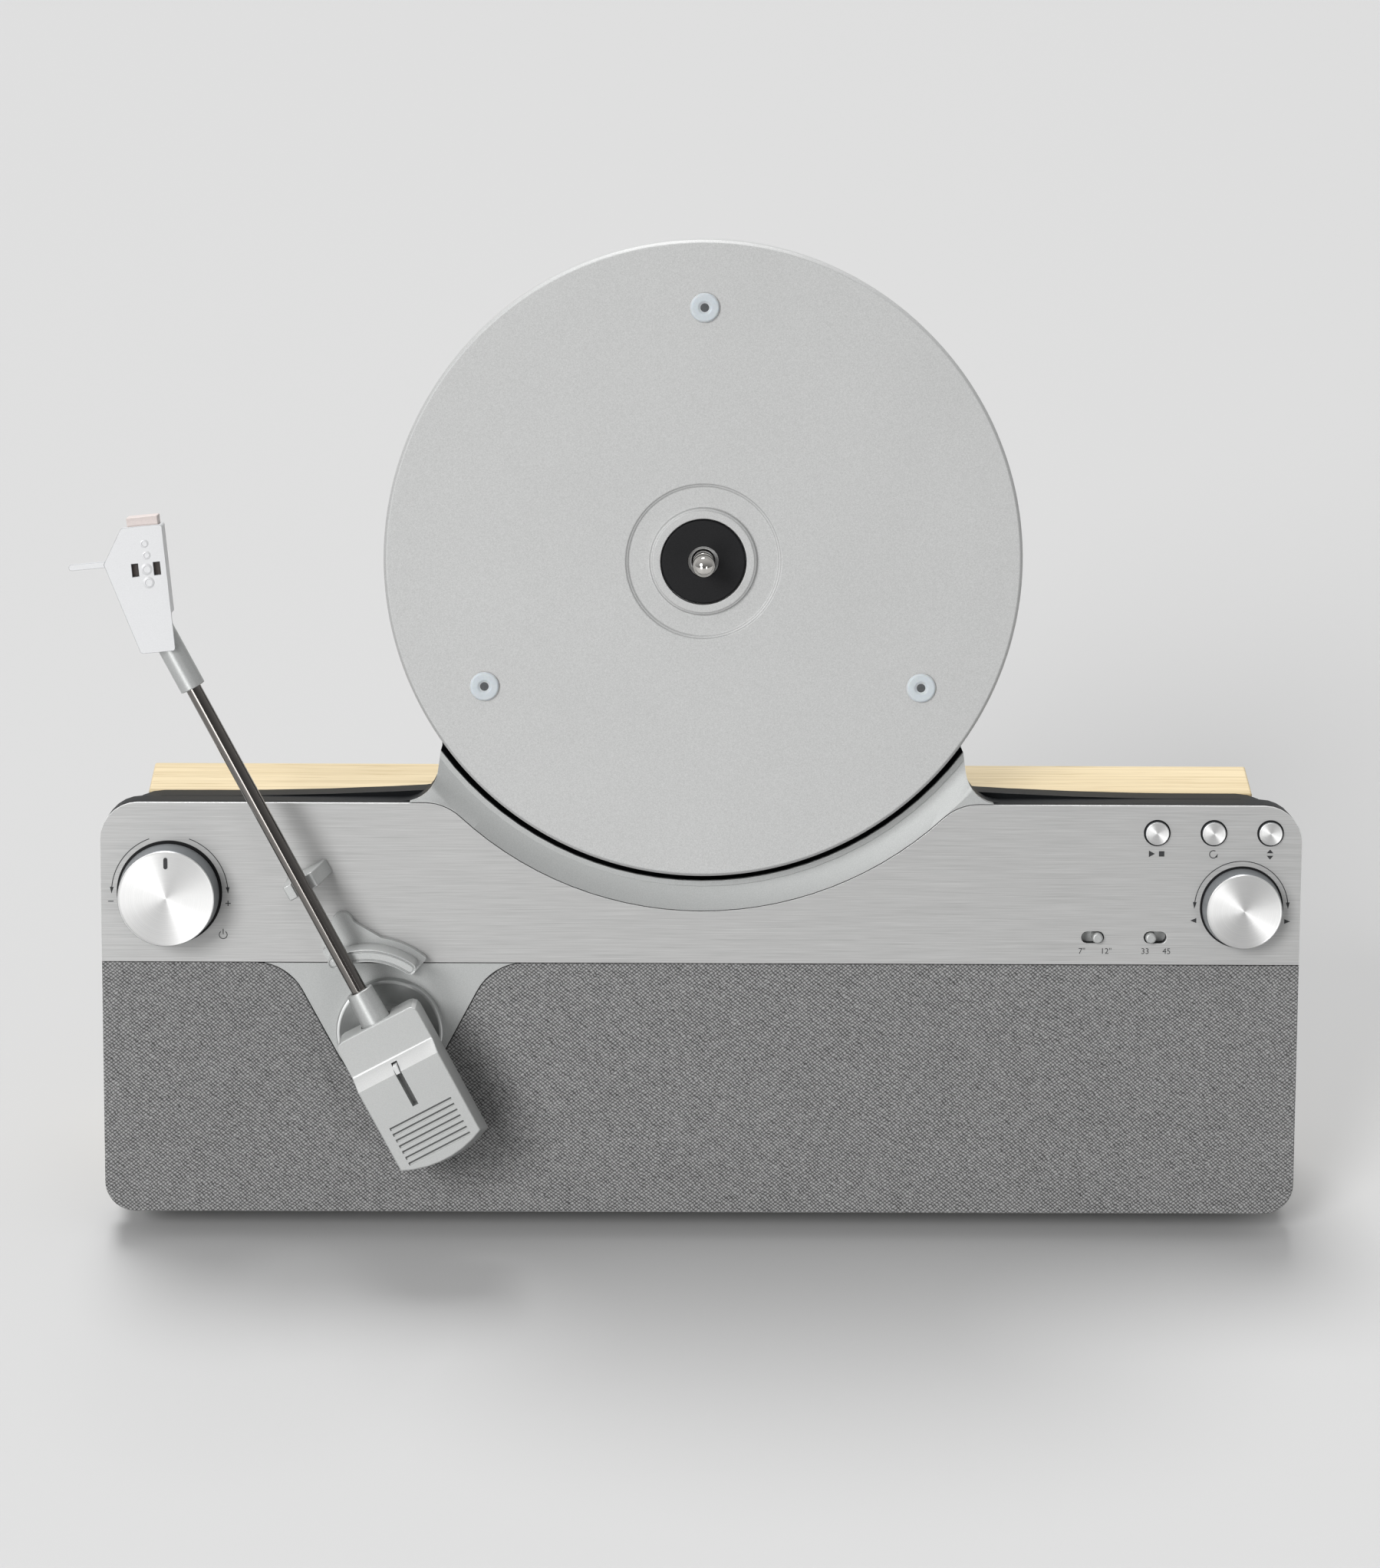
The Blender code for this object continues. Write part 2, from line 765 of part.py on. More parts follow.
def build_cabinet():
    along_x = (math.pi / 2, 0, math.pi / 2)
    inner_half = cabinet_half - cabinet_wall
    floor = foot_height + cabinet_wall
    ceiling = cabinet_top - cabinet_wall
    side = side_profile(foot_height, cabinet_top)
    shell = plate("cabinet_shell", [side], inner_half, cabinet_half, oak, root, turn=along_x)
    add(shell, plate("left_side", [side], -cabinet_half, -inner_half, oak, root, turn=along_x))
    reach = inner_half + cabinet_wall / 2
    for name, low, high in (("bottom_board", foot_height, floor), ("top_board", ceiling, cabinet_top)):
        add(shell, plate(name, [side_profile(low, high)], -reach, reach, oak, root, turn=along_x))

    back_half = inner_half - seat_gap
    low = floor + seat_gap
    high = ceiling - seat_gap
    inlet_x = cabinet_half - inlet_inset
    jack_x = cabinet_half - jack_inset
    hole = hole_clearance
    openings = [rounded_box(-back_half, back_half, low, high, window_radius),
                centred_box(inlet_x, socket_height, inlet_width + 2 * hole, inlet_height + 2 * hole)]
    for side in (-1, 1):
        openings.append(circle(jack_x + side * jack_spacing / 2, socket_height, jack_radius + hole))
    upright = (math.pi / 2, 0, 0)
    back_y = cabinet_depth - back_recess - back_thickness
    plate("back_panel", openings, -back_thickness, 0, black_plastic, root, (0, back_y, 0), upright)

    taper = foot_taper
    top = foot_height - seat_gap
    profile = [(0, top), (foot_radius, top), (foot_radius - taper, 0), (0, 0)]
    front = plane_y(foot_height, cabinet_plane) + foot_radius + foot_front_inset
    rear = cabinet_depth - foot_radius - foot_back_inset
    side = cabinet_half - foot_side_inset
    places = {"front_left": (-side, front), "front_right": (side, front),
              "rear_left": (-side, rear), "rear_right": (side, rear)}
    for name, (x, y) in places.items():
        turned("foot_" + name, profile, rubber, root, (x, y, 0), steps=small_steps)
    return inlet_x, jack_x, back_y


def build_sockets(inlet_x, jack_x, back_y):
    """Power inlet and line-out jacks: flanges inside the back panel, bodies through it."""
    upright = (math.pi / 2, 0, 0)
    inside = back_y - seat_gap
    outside = cabinet_depth - back_recess
    half_w = inlet_width / 2
    half_h = inlet_height / 2
    depth = inlet_depth
    inlet = box("power_inlet", inlet_x - half_w, inlet_x + half_w, inside - depth, outside,
                socket_height - half_h, socket_height + half_h, black_plastic, root)
    flange = box("inlet_flange", inlet_x - half_w - inlet_flange, inlet_x + half_w + inlet_flange,
                 inside - inlet_flange, inside, socket_height - half_h - inlet_flange,
                 socket_height + half_h + inlet_flange, black_plastic, root)
    wall = inlet_wall
    socket = box("inlet_socket", inlet_x - half_w + wall, inlet_x + half_w - wall, inside - depth + wall,
                 outside + overrun, socket_height - half_h + wall, socket_height + half_h - wall,
                 black_plastic, root)
    cut(add(inlet, flange), socket)

    half_w = jack_plate_width / 2
    half_h = jack_plate_height / 2
    jacks = box("line_out_jacks", jack_x - half_w, jack_x + half_w, inside - jack_body_depth, inside,
                socket_height - half_h, socket_height + half_h, black_plastic, root)
    length = jack_body_depth / 2 + (outside + jack_proud - inside)
    for side in (-1, 1):
        profile = [(0, length), (jack_radius, length), (jack_radius, 0), (0, 0)]
        mouth = length + overrun
        bore = [(0, mouth), (jack_bore, mouth), (jack_bore, jack_body_depth), (0, jack_body_depth)]
        place = (jack_x + side * jack_spacing / 2, inside - jack_body_depth / 2, socket_height)
        turn = (-math.pi / 2, 0, 0)
        add(jacks, turned("jack_barrel", profile, steel, root, place, turn, small_steps))
        cut(jacks, turned("jack_bore", bore, steel, root, place, turn, pin_steps))


def build_main_board():
    """Circuit board on posts on the cabinet floor, with its coil."""
    floor = foot_height + cabinet_wall + seat_gap
    left = -main_board_shift - main_board_width / 2
    right = -main_board_shift + main_board_width / 2
    low = floor + main_post_height
    front = plane_y(low + coil_height, cabinet_plane) + main_board_front_gap
    back = front + main_board_depth
    board = box("main_board", left, right, front, back, low, low + board_plate, board_green, root)
    for x in (left + main_post_inset, right - main_post_inset):
        for y in (front + main_post_inset, back - main_post_inset):
            top = main_post_height + board_plate / 2
            profile = [(0, top), (main_post_radius, top), (main_post_radius, 0), (0, 0)]
            add(board, turned("board_post", profile, steel, root, (x, y, floor), steps=pin_steps))
    middle = (front + back) / 2
    half = coil_width / 2
    add(board, box("board_coil", left + coil_width, left + 2 * coil_width, middle - half, middle + half,
                   low + board_plate / 2, low + coil_height, steel, root))


# Leaning front

def build_front():
    rim = half_width - frame_side_rim
    low = frame_rim
    high = seam - seam_bar_below
    inner_right = arm_x + mount_radius + bush_wall
    speaker_edge = speaker_x - speaker_radius - bush_wall
    upper_low = seam + seam_bar_above
    upper_high = top_edge - frame_top_rim
    upper_inner = math.sqrt((well_radius + well_wall) ** 2 - (platter_y - upper_high) ** 2)
    left_top = speaker_height + speaker_radius + bush_wall
    windows = [rounded_box(-rim, -speaker_edge, low, left_top, window_radius),
               rounded_box(inner_right, speaker_edge - bush_wall, low, high, window_radius),
               rounded_box(speaker_edge, rim, low, high, window_radius),
               rounded_box(-rim, -upper_inner, upper_low, upper_high, window_radius),
               rounded_box(upper_inner, rim, upper_low, upper_high, window_radius)]
    bush_hole = circle(arm_x, arm_y, bush_radius + hole_clearance)
    frame = plate("front_frame", [front_frame_outline(), bush_hole] + windows, frame_back, frame_front,
                  black_plastic, face)
    cut(frame, box("button_pocket", rim - button_pocket_overlap, half_width - frame_rim, upper_low,
                   upper_high, frame_back + button_pocket_floor, frame_front + overrun, black_plastic, face))

    rim = cabinet_half - chassis_rim
    low = chassis_bottom_rise + chassis_rim
    high = top_edge - chassis_rim
    middle_high = platter_y - drum_radius - chassis_drum_rim
    windows = [rounded_box(-rim, -speaker_edge, low, left_top, window_radius),
               rounded_box(inner_right, speaker_edge - bush_wall, low, middle_high, window_radius),
               rounded_box(speaker_edge, rim, low, left_top, window_radius),
               rounded_box(speaker_edge, rim, left_top + bush_wall, high, window_radius),
               circle(0, platter_y, bearing_outer + hole_clearance, small_steps),
               circle(0, platter_y + motor_reach, motor_boss_radius + hole_clearance, pin_steps)]
    chassis = plate("rear_chassis", [chassis_outline()] + windows, chassis_back, chassis_front,
                    black_plastic, face)
    pocket = [(0, web_back), (pocket_radius, web_back), (pocket_radius, chassis_back - overrun),
              (0, chassis_back - overrun)]
    cut(chassis, turned("drum_pocket", pocket, black_plastic, face, (0, platter_y, 0), steps=round_steps))

    shaft_hole = shaft_radius + hole_clearance
    knobs = ((volume_x, volume_y), (jog_x, jog_y))
    holes = [circle(x, y, shaft_hole, small_steps) for x, y in knobs]
    holes += [circle(x, button_y, button_radius + hole_clearance) for x in button_places]
    half_l = switch_slot_length / 2
    half_w = switch_slot_width / 2
    for x in (size_x, speed_x):
        holes.append(rounded_box(x - half_l, x + half_l, switch_y - half_w, switch_y + half_w,
                                 half_w - cloth_recess))
    plate("front_panel", [panel_outline()] + holes, -sheet_thickness, 0, brushed, face)
    plate("panel_carrier", [panel_outline()] + holes, -lining_depth, -sheet_thickness - seat_gap,
          black_plastic, face)

    surround = plate("platter_surround", [surround_outline()], -lining_depth, 0, silver, face)
    lip = well_radius + lip_width
    bottom = -cove_depth
    middle = (lip + cove_radius) / 2
    cove = [(0, overrun), (cove_radius + overrun, overrun), (cove_radius - seat_gap, 0),
            (middle, bottom * cove_middle_share), (lip, bottom), (lip, -lip_depth), (0, -lip_depth)]
    cut(surround, turned("cove_cutter", cove, silver, face, (0, platter_y, 0), steps=fine_steps))

    mount_hole = circle(arm_x, arm_y, turret_shaft_radius + hole_clearance)
    plate("arm_mount_plate", [mount_outline(), mount_hole], -lining_depth, 0, silver, face)

    speaker_holes = []
    for side in (-1, 1):
        hole = circle(side * speaker_x, speaker_height, speaker_radius - speaker_rim, round_steps // 2)
        speaker_holes.append(hole)
    board_top = -cloth_recess - cloth_thickness - seat_gap
    board_back = board_top - board_thickness
    cloth_back = -cloth_recess - cloth_thickness
    plate("grille_board", [grille_outline()] + speaker_holes, board_back, board_top, fibre, face)
    plate("grille_cloth", [grille_outline()], cloth_back, -cloth_recess, cloth_grey, face)
    return board_back


def build_speakers(board_back):
    """A driver behind the grille board on each side: basket with magnet, and paper cone."""
    top = board_back - seat_gap
    rim = speaker_radius - speaker_rim
    shelf = top - speaker_flange
    neck = shelf - speaker_neck_depth
    floor = neck + basket_wall
    inner_neck = speaker_neck_radius - basket_wall
    basket = [(0, floor), (inner_neck, floor), (rim, shelf - basket_wall), (rim, top), (speaker_radius, top),
              (speaker_radius, shelf), (rim + basket_wall / 2, shelf), (speaker_neck_radius, neck),
              (speaker_neck_radius, neck - magnet_depth), (0, neck - magnet_depth)]
    edge = rim - seat_gap
    edge_low = shelf - basket_wall + seat_gap
    cone_low = edge_low - cone_depth
    thick = cone_thickness
    cone = [(0, cone_low + 2 * thick), (cone_neck_radius, cone_low + thick), (edge, edge_low + thick),
            (edge, edge_low), (cone_neck_radius, cone_low), (0, cone_low)]
    for name, side in (("left", -1), ("right", 1)):
        place = (side * speaker_x, speaker_height, 0)
        turned("speaker_basket_" + name, basket, steel, face, place)
        turned("speaker_cone_" + name, cone, paper_black, face, place)


# Platter, hub and drive

bearing_bore = spindle_radius + hole_clearance
bearing_outer = bearing_bore + bearing_wall
hub_floor = platter_lift - hub_disc_drop - seat_gap


def build_platter():
    face_z = platter_lift
    back_z = platter_lift - platter_thickness
    rim_z = platter_lift - platter_rim_depth
    ring_z = platter_lift + hub_ring_rise
    dish_z = platter_lift - recess_depth
    seat = hub_disc_radius + seat_gap
    inner = platter_radius - platter_rim_wall
    drive_in = drive_radius - drive_wall
    bore = spindle_radius + hole_clearance
    profile = [(bore, hub_floor), (seat, hub_floor), (seat, ring_z), (hub_ring_radius, ring_z),
               (hub_ring_radius + hub_ring_slope, dish_z), (recess_radius - recess_slope, dish_z),
               (recess_radius, face_z), (platter_radius - platter_bevel, face_z),
               (platter_radius, face_z - platter_bevel), (platter_radius, rim_z), (inner, rim_z),
               (inner, back_z), (drive_radius, back_z), (drive_radius, back_z - drive_depth),
               (drive_in, back_z - drive_depth), (drive_in, back_z), (hub_boss_radius, back_z),
               (hub_boss_radius, back_z - hub_boss_depth), (bore, back_z - hub_boss_depth)]
    platter = turned("platter", profile, silver, platter_axis, steps=fine_steps, closed=True)

    stem_hole = pad_stem_radius + hole_clearance
    hole = [(0, face_z + overrun), (stem_hole, face_z + overrun), (stem_hole, back_z - overrun),
            (0, back_z - overrun)]
    pad_low = face_z + seat_gap
    pad_high = pad_low + pad_height
    pad = [(0, pad_high - pad_dimple_depth), (pad_dimple_radius, pad_high - pad_dimple_depth),
           (pad_dimple_radius + pad_round, pad_high), (pad_radius - pad_round, pad_high),
           (pad_radius, pad_high - pad_round), (pad_radius, pad_low), (pad_stem_radius, pad_low),
           (pad_stem_radius, back_z), (0, back_z)]
    for number in range(3):
        angle = math.pi / 2 + number * math.tau / 3
        place = (pad_circle * math.cos(angle), pad_circle * math.sin(angle), 0)
        turned("platter_pad_%d" % (number + 1), pad, silicone, platter_axis, place, steps=small_steps)
        cut(platter, turned("pad_hole", hole, silver, platter_axis, place, steps=pin_steps))

    disc_low = hub_floor + seat_gap
    disc_high = platter_lift + hub_disc_rise
    chamfer = hub_disc_chamfer
    disc = [(hub_hole_radius, disc_high), (hub_disc_radius - chamfer, disc_high),
            (hub_disc_radius, disc_high - chamfer), (hub_disc_radius, disc_low), (hub_hole_radius, disc_low)]
    turned("hub_disc", disc, black_plastic, platter_axis, closed=True)

    ball = spindle_ball_radius
    centre = spindle_tip_height - ball
    profile = []
    for step in range(arc_steps + 1):
        angle = math.pi / 2 - step * (math.pi / 2 + spindle_ball_under) / arc_steps
        profile.append((ball * math.cos(angle), centre + ball * math.sin(angle)))
    profile[0] = (0, spindle_tip_height)
    waist_low = centre - ball - spindle_waist
    profile += [(spindle_waist_radius, centre - ball), (spindle_waist_radius, waist_low),
                (spindle_radius, waist_low - spindle_waist / 2), (spindle_radius, -spindle_depth),
                (0, -spindle_depth)]
    turned("spindle", profile, chrome, platter_axis, steps=small_steps)


def build_drive():
    flange_low = chassis_front + seat_gap
    floor = -spindle_depth - seat_gap
    flange_high = flange_low + bearing_flange
    profile = [(0, floor), (bearing_bore, floor), (bearing_bore, -bearing_top), (bearing_outer, -bearing_top),
               (bearing_outer, flange_high), (bearing_flange_radius, flange_high),
               (bearing_flange_radius, flange_low), (bearing_outer, flange_low),
               (bearing_outer, floor - bearing_floor), (0, floor - bearing_floor)]
    turned("bearing_housing", profile, steel, face, (0, platter_y, 0), steps=small_steps)

    top = chassis_back - seat_gap
    inner = housing_radius - housing_wall
    low = top - housing_depth
    cup = [(0, low + housing_wall), (inner, low + housing_wall), (inner, top), (housing_radius, top),
           (housing_radius, low), (0, low)]
    turned("rear_housing", cup, black_plastic, face, (0, platter_y, 0))

    back_z = platter_lift - platter_thickness
    pulley_top = back_z - pulley_front
    body_top = web_back - seat_gap
    boss_top = chassis_front
    shaft = motor_shaft_radius
    motor = [(0, pulley_top), (shaft, pulley_top), (shaft, boss_top), (motor_boss_radius, boss_top),
             (motor_boss_radius, body_top), (motor_radius, body_top), (motor_radius, body_top - motor_length),
             (0, body_top - motor_length)]
    turned("motor", motor, steel, face, (0, platter_y + motor_reach, 0), steps=small_steps)

    belt_high = back_z - belt_drop
    belt_low = belt_high - belt_width
    bore = shaft + hole_clearance
    flange = pulley_radius + pulley_flange
    run = seat_gap + pulley_lip
    pulley = [(bore, pulley_top), (flange, pulley_top), (flange, belt_high + run),
              (pulley_radius, belt_high + seat_gap), (pulley_radius, belt_low - seat_gap),
              (flange, belt_low - run), (flange, boss_top + run),
              (bore, boss_top + run)]
    turned("motor_pulley", pulley, pale_plastic, pulley_axis, steps=small_steps, closed=True)

    inner_loop = belt_outline(seat_gap)
    outer_loop = belt_outline(seat_gap + belt_thickness)
    plate("drive_belt", [outer_loop, inner_loop], belt_low, belt_high, rubber, face, (0, platter_y, 0))


def belt_outline(offset):
    """A loop round the drive ring and the pulley above it, offset outwards."""
    big = drive_radius + offset
    small = pulley_radius + offset
    tilt = math.asin((big - small) / motor_reach)
    low = arc((0, 0), big, math.pi - tilt, math.tau + tilt, 2 * well_steps)
    high = arc((0, motor_reach), small, tilt, math.pi - tilt, arc_steps)
    return low + high


# Arm base, rest and lift on the front

def build_arm_base():
    gap = seat_gap
    bore = turret_shaft_radius + hole_clearance
    slope_start = turret_radius + hole_clearance + gap
    rim = base_ring_radius - base_ring_rim
    ring = [(bore, base_ring_floor), (slope_start, base_ring_floor), (rim, base_ring_height),
            (base_ring_radius - base_ring_chamfer, base_ring_height),
            (base_ring_radius, base_ring_height - base_ring_chamfer), (base_ring_radius, gap), (bore, gap)]
    turned("arm_base_ring", ring, silver, face, (arm_x, arm_y, 0), closed=True)
    bush_top = -lining_depth - gap
    bush = [(bore, bush_top), (bush_radius, bush_top), (bush_radius, frame_back), (bore, frame_back)]
    turned("swing_bearing", bush, steel, face, (arm_x, arm_y, 0), steps=small_steps, closed=True)

    saddle = arm_height - tube_radius - gap
    prong = tube_radius + gap
    outline = [(-rest_left, gap), (rest_right, gap), (rest_top_right, saddle), (-prong, saddle),
               (-prong, rest_lip_height), (-rest_left, rest_lip_height)]
    rest = plate("arm_rest", [outline], -rest_length / 2, rest_length / 2, silver, swing_axis,
                 (0, rest_reach + rest_length / 2, 0), (math.pi / 2, 0, 0))
    rest.parent = face
    rest.matrix_parent_inverse = Matrix.LocRotScale(Vector((arm_x, arm_y, 0)),
                                                    Matrix.Rotation(arm_rest_angle, 3, "Z"), None)


def eased(places, radius):
    """Rounds each sharp corner of a closed outline by a curve that starts and ends a radius away from it."""
    result = []
    for before, corner, after in zip(places[-1:] + places[:-1], places, places[1:] + places[:1]):
        middle = Vector(corner)
        one = Vector(before) - middle
        other = Vector(after) - middle
        if one.angle(other) > blunt_angle:
            result.append(corner)
            continue
        back = min(radius, one.length / 2, other.length / 2)
        start = middle + one.normalized() * back
        end = middle + other.normalized() * back
        for step in range(ease_steps + 1):
            share = step / ease_steps
            result.append(tuple(start.lerp(middle, share).lerp(middle.lerp(end, share), share)))
    return result


def lift_arc(radius, start, end, points=2 * arc_steps):
    """An arc round the lift's centre, its angles counted clockwise from straight up."""
    return arc((0, 0), radius, math.pi / 2 - start, math.pi / 2 - end, points)


def rail_end(angle, start):
    """The round end of the lift rail at an angle clockwise from straight up."""
    centre = (lift_radius * math.sin(angle), lift_radius * math.cos(angle))
    turn = math.pi / 2 - angle + start
    return arc(centre, rail_width / 2, turn, turn + math.pi)


def build_lift():
    place = (arm_x - lift_centre_left, arm_y + lift_centre_rise, 0)
    half = lift_plate_width / 2
    inner = lift_radius - half
    outer = lift_radius + half
    apex = arc((-lift_apex_left, lift_apex_rise), lift_apex_radius, lift_shoulder_angle,
               math.pi - lift_shoulder_angle, arc_steps)
    outline = lift_arc(inner, -lift_left_angle, lift_right_angle)
    outline += lift_arc(outer, lift_right_angle, lift_shoulder_angle)
    outline += apex + [(-lift_flank_left, lift_flank_rise)]
    outline += lift_arc(outer, -lift_left_angle + lift_shoulder_angle / 2, -lift_left_angle, 1)
    pins = []
    for angle in (-lift_pin_angle, lift_pin_angle):
        pins.append((lift_radius * math.sin(angle), lift_radius * math.cos(angle)))
    holes = [circle(x, y, lift_pin_radius + hole_clearance, pin_steps) for x, y in pins]
    plate_top = seat_gap + lift_plate_thickness
    plate("lift_plate", [eased(outline, lift_plate_corner)] + holes, seat_gap, plate_top, silver, face, place)

    half = rail_width / 2
    left = lift_left_angle - rail_end_inset / lift_radius
    right = lift_right_angle - rail_end_inset / lift_radius
    outline = lift_arc(lift_radius - half, -left, right)[:-1]
    outline += rail_end(right, math.pi)
    outline += lift_arc(lift_radius + half, right, -left)[1:-1]
    outline += rail_end(-left, 0)[:-1]
    low = plate_top + seat_gap
    high = arm_height - tube_radius - seat_gap
    rail = plate("lift_rail", [outline], low, high, silver, face, place)
    for x, y in pins:
        pin_top = low + rail_width / 2
        profile = [(0, pin_top), (lift_pin_radius, pin_top), (lift_pin_radius, lift_pin_foot),
                   (0, lift_pin_foot)]
        pin_place = (place[0] + x, place[1] + y, 0)
        add(rail, turned("lift_pin", profile, steel, face, pin_place, steps=pin_steps))


# Tonearm

def across(name, radius, half_length, height, look, parent):
    """A rod across the arm, at a height above the parent's origin."""
    profile = [(0, half_length), (radius, half_length), (radius, -half_length), (0, -half_length)]
    return turned(name, profile, look, parent, (0, 0, height), (0, math.pi / 2, 0), pin_steps)


def along(name, profile, look, start, steps=small_steps, closed=False):
    """A turned piece on the arm's line, its profile's heights counted along the arm from start."""
    return turned(name, profile, look, tilt_axis, (0, start, 0), (-math.pi / 2, 0, 0), steps, closed)


def build_turret():
    profile = [(0, turret_top), (turret_radius, turret_top), (turret_radius, base_ring_floor + seat_gap),
               (turret_shaft_radius, base_ring_floor + seat_gap), (turret_shaft_radius, -turret_shaft_depth),
               (0, -turret_shaft_depth)]
    turret = turned("arm_turret", profile, silver, swing_axis, steps=small_steps)
    wide = yoke_half_width
    inner = wide - yoke_wall
    floor = turret_top
    head = arm_height + yoke_head
    outline = [(-wide, floor - yoke_floor), (wide, floor - yoke_floor), (wide, head), (inner, head),
               (inner, floor), (-inner, floor), (-inner, head), (-wide, head)]
    yoke = plate("yoke", [outline], -yoke_half_length, yoke_half_length, silver, swing_axis,
                 turn=(math.pi / 2, 0, 0))
    add(turret, yoke)
    bore = axle_radius + hole_clearance
    cut(turret, across("yoke_bore", bore, wide + overrun, arm_height, steel, swing_axis))
    across("tilt_axle", axle_radius, wide - hole_clearance, arm_height, steel, swing_axis)


def build_carriage():
    """The block that turns on the axle, its collar and tube, and the counterweight behind it."""
    low = carriage_bottom - arm_height
    high = carriage_top - arm_height
    front = block_front - block_wall - seat_gap
    wide = carriage_half_width
    carriage = box("arm_carriage", -wide, wide, -carriage_back, front, low, high, silver, tilt_axis)
    cut(carriage, across("carriage_bore", axle_radius + hole_clearance, wide + overrun, 0, steel, tilt_axis))

    start = front + seat_gap
    length = collar_reach - start
    bore = tube_radius + hole_clearance
    blind = length - collar_bore_depth
    collar = [(0, blind), (bore, blind), (bore, length), (collar_tip_radius, length),
              (collar_root_radius, 0), (0, 0)]
    along("arm_collar", collar, silver, start)

    tube_start = start + blind + seat_gap
    tube_end = sleeve_start + sleeve_bore_depth - seat_gap
    span = tube_end - tube_start
    tube = [(tube_bore, span), (tube_radius, span), (tube_radius, 0), (tube_bore, 0)]
    along("arm_tube", tube, chrome, tube_start, closed=True)

    sleeve = [(0, sleeve_length), (sleeve_radius, sleeve_length), (sleeve_radius, 0), (bore, 0),
              (bore, sleeve_bore_depth), (0, sleeve_bore_depth)]
    along("arm_sleeve", sleeve, silver, sleeve_start)

    low = weight_bottom - arm_height
    wide = weight_half_width
    box("counterweight", -wide, wide, -weight_back, -carriage_back - seat_gap, low, high, steel, tilt_axis)


def block_end(half, corner, sagitta):
    """The block's curved far end, from its left corner to its right one."""
    radius = (half ** 2 + sagitta ** 2) / (2 * sagitta)
    spread = math.asin(half / radius)
    centre = -corner - sagitta + radius
    return arc((0, centre), radius, -math.pi / 2 - spread, -math.pi / 2 + spread)


def build_block():
    low = block_bottom - arm_height
    high = block_high_top - arm_height
    half = block_half_width
    round_corner = arc((half - block_corner_radius, block_front - block_corner_radius), block_corner_radius,
                       0, math.pi / 2, arc_steps // 2)
    outline = block_end(half, block_corner + block_draft, block_sagitta)
    outline += round_corner + mirrored(round_corner)
    block = plate("arm_block", [outline], low, high, silver, tilt_axis)
    draw_in(block.data, high, block_corner)

    step_low = block_low_top - arm_height
    over = high + overrun
    front = block_front + overrun
    step = [(-block_step_back, high), (-block_step_front, step_low), (front, step_low), (front, over),
            (-block_step_back, over)]
    cut(block, plate("block_step", [step], -half - overrun, half + overrun, silver, tilt_axis,
                     turn=(math.pi / 2, 0, math.pi / 2)))

    wall = block_wall
    inner = half - wall
    pocket = block_end(inner, block_corner - wall, block_sagitta)
    pocket += [(inner, block_front - wall), (-inner, block_front - wall)]
    cut(block, plate("block_pocket", [pocket], low - overrun, step_low - block_roof, silver, tilt_axis))
    cut(block, box("block_slot", -slot_half_width, slot_half_width, -slot_back, -slot_front,
                   low, high + overrun, silver, tilt_axis))
    mouth = collar_root_radius + hole_clearance
    profile = [(0, overrun), (mouth, overrun), (mouth, -block_wall - overrun), (0, -block_wall - overrun)]
    cut(block, along("collar_mouth", profile, silver, block_front))
    open_low = box("mouth_slot", -mouth, mouth, block_front - wall - overrun, block_front + overrun,
                   low - overrun, 0, silver, tilt_axis)
    cut(block, open_low)
    half_rib = rib_width / 2
    for number in range(rib_count):
        middle = -rib_first - number * rib_spacing
        cut(block, box("block_rib", -rib_half_length, rib_half_length, middle - half_rib, middle + half_rib,
                       high - rib_depth, high + overrun, silver, tilt_axis))

    roof = step_low - block_roof - seat_gap
    front = -slot_front - slider_start
    back = front - slider_length
    half_stem = slot_half_width - seat_gap
    slider = box("force_slider", -half_stem, half_stem, back, front, roof - slider_foot_thickness,
                 high + slider_rise - seat_gap, silver, tilt_axis)
    foot = slider_foot_half_width
    add(slider, box("slider_foot", -foot, foot, back - slider_foot_back, front + slider_foot_front,
                    roof - slider_foot_thickness, roof, silver, tilt_axis))


def draw_in(mesh, high, corner):
    """Slants the block's end wall, by moving the top of the end towards the arm's pivot."""
    for vertex in mesh.vertices:
        if vertex.co.z > high - seat_gap and vertex.co.y < -corner:
            vertex.co.y += block_draft


# Headshell and cartridge

def head_outline(inset=0.0):
    right = head_half_end - inset
    slope = (head_elbow_left - head_half_end) / head_elbow_rise
    left_end = head_half_end - inset
    return [(-left_end, 0), (right, 0), (right, head_length), (-head_top_left + inset, head_length),
            (-head_elbow_left + inset * (1 + slope), head_elbow_rise)]


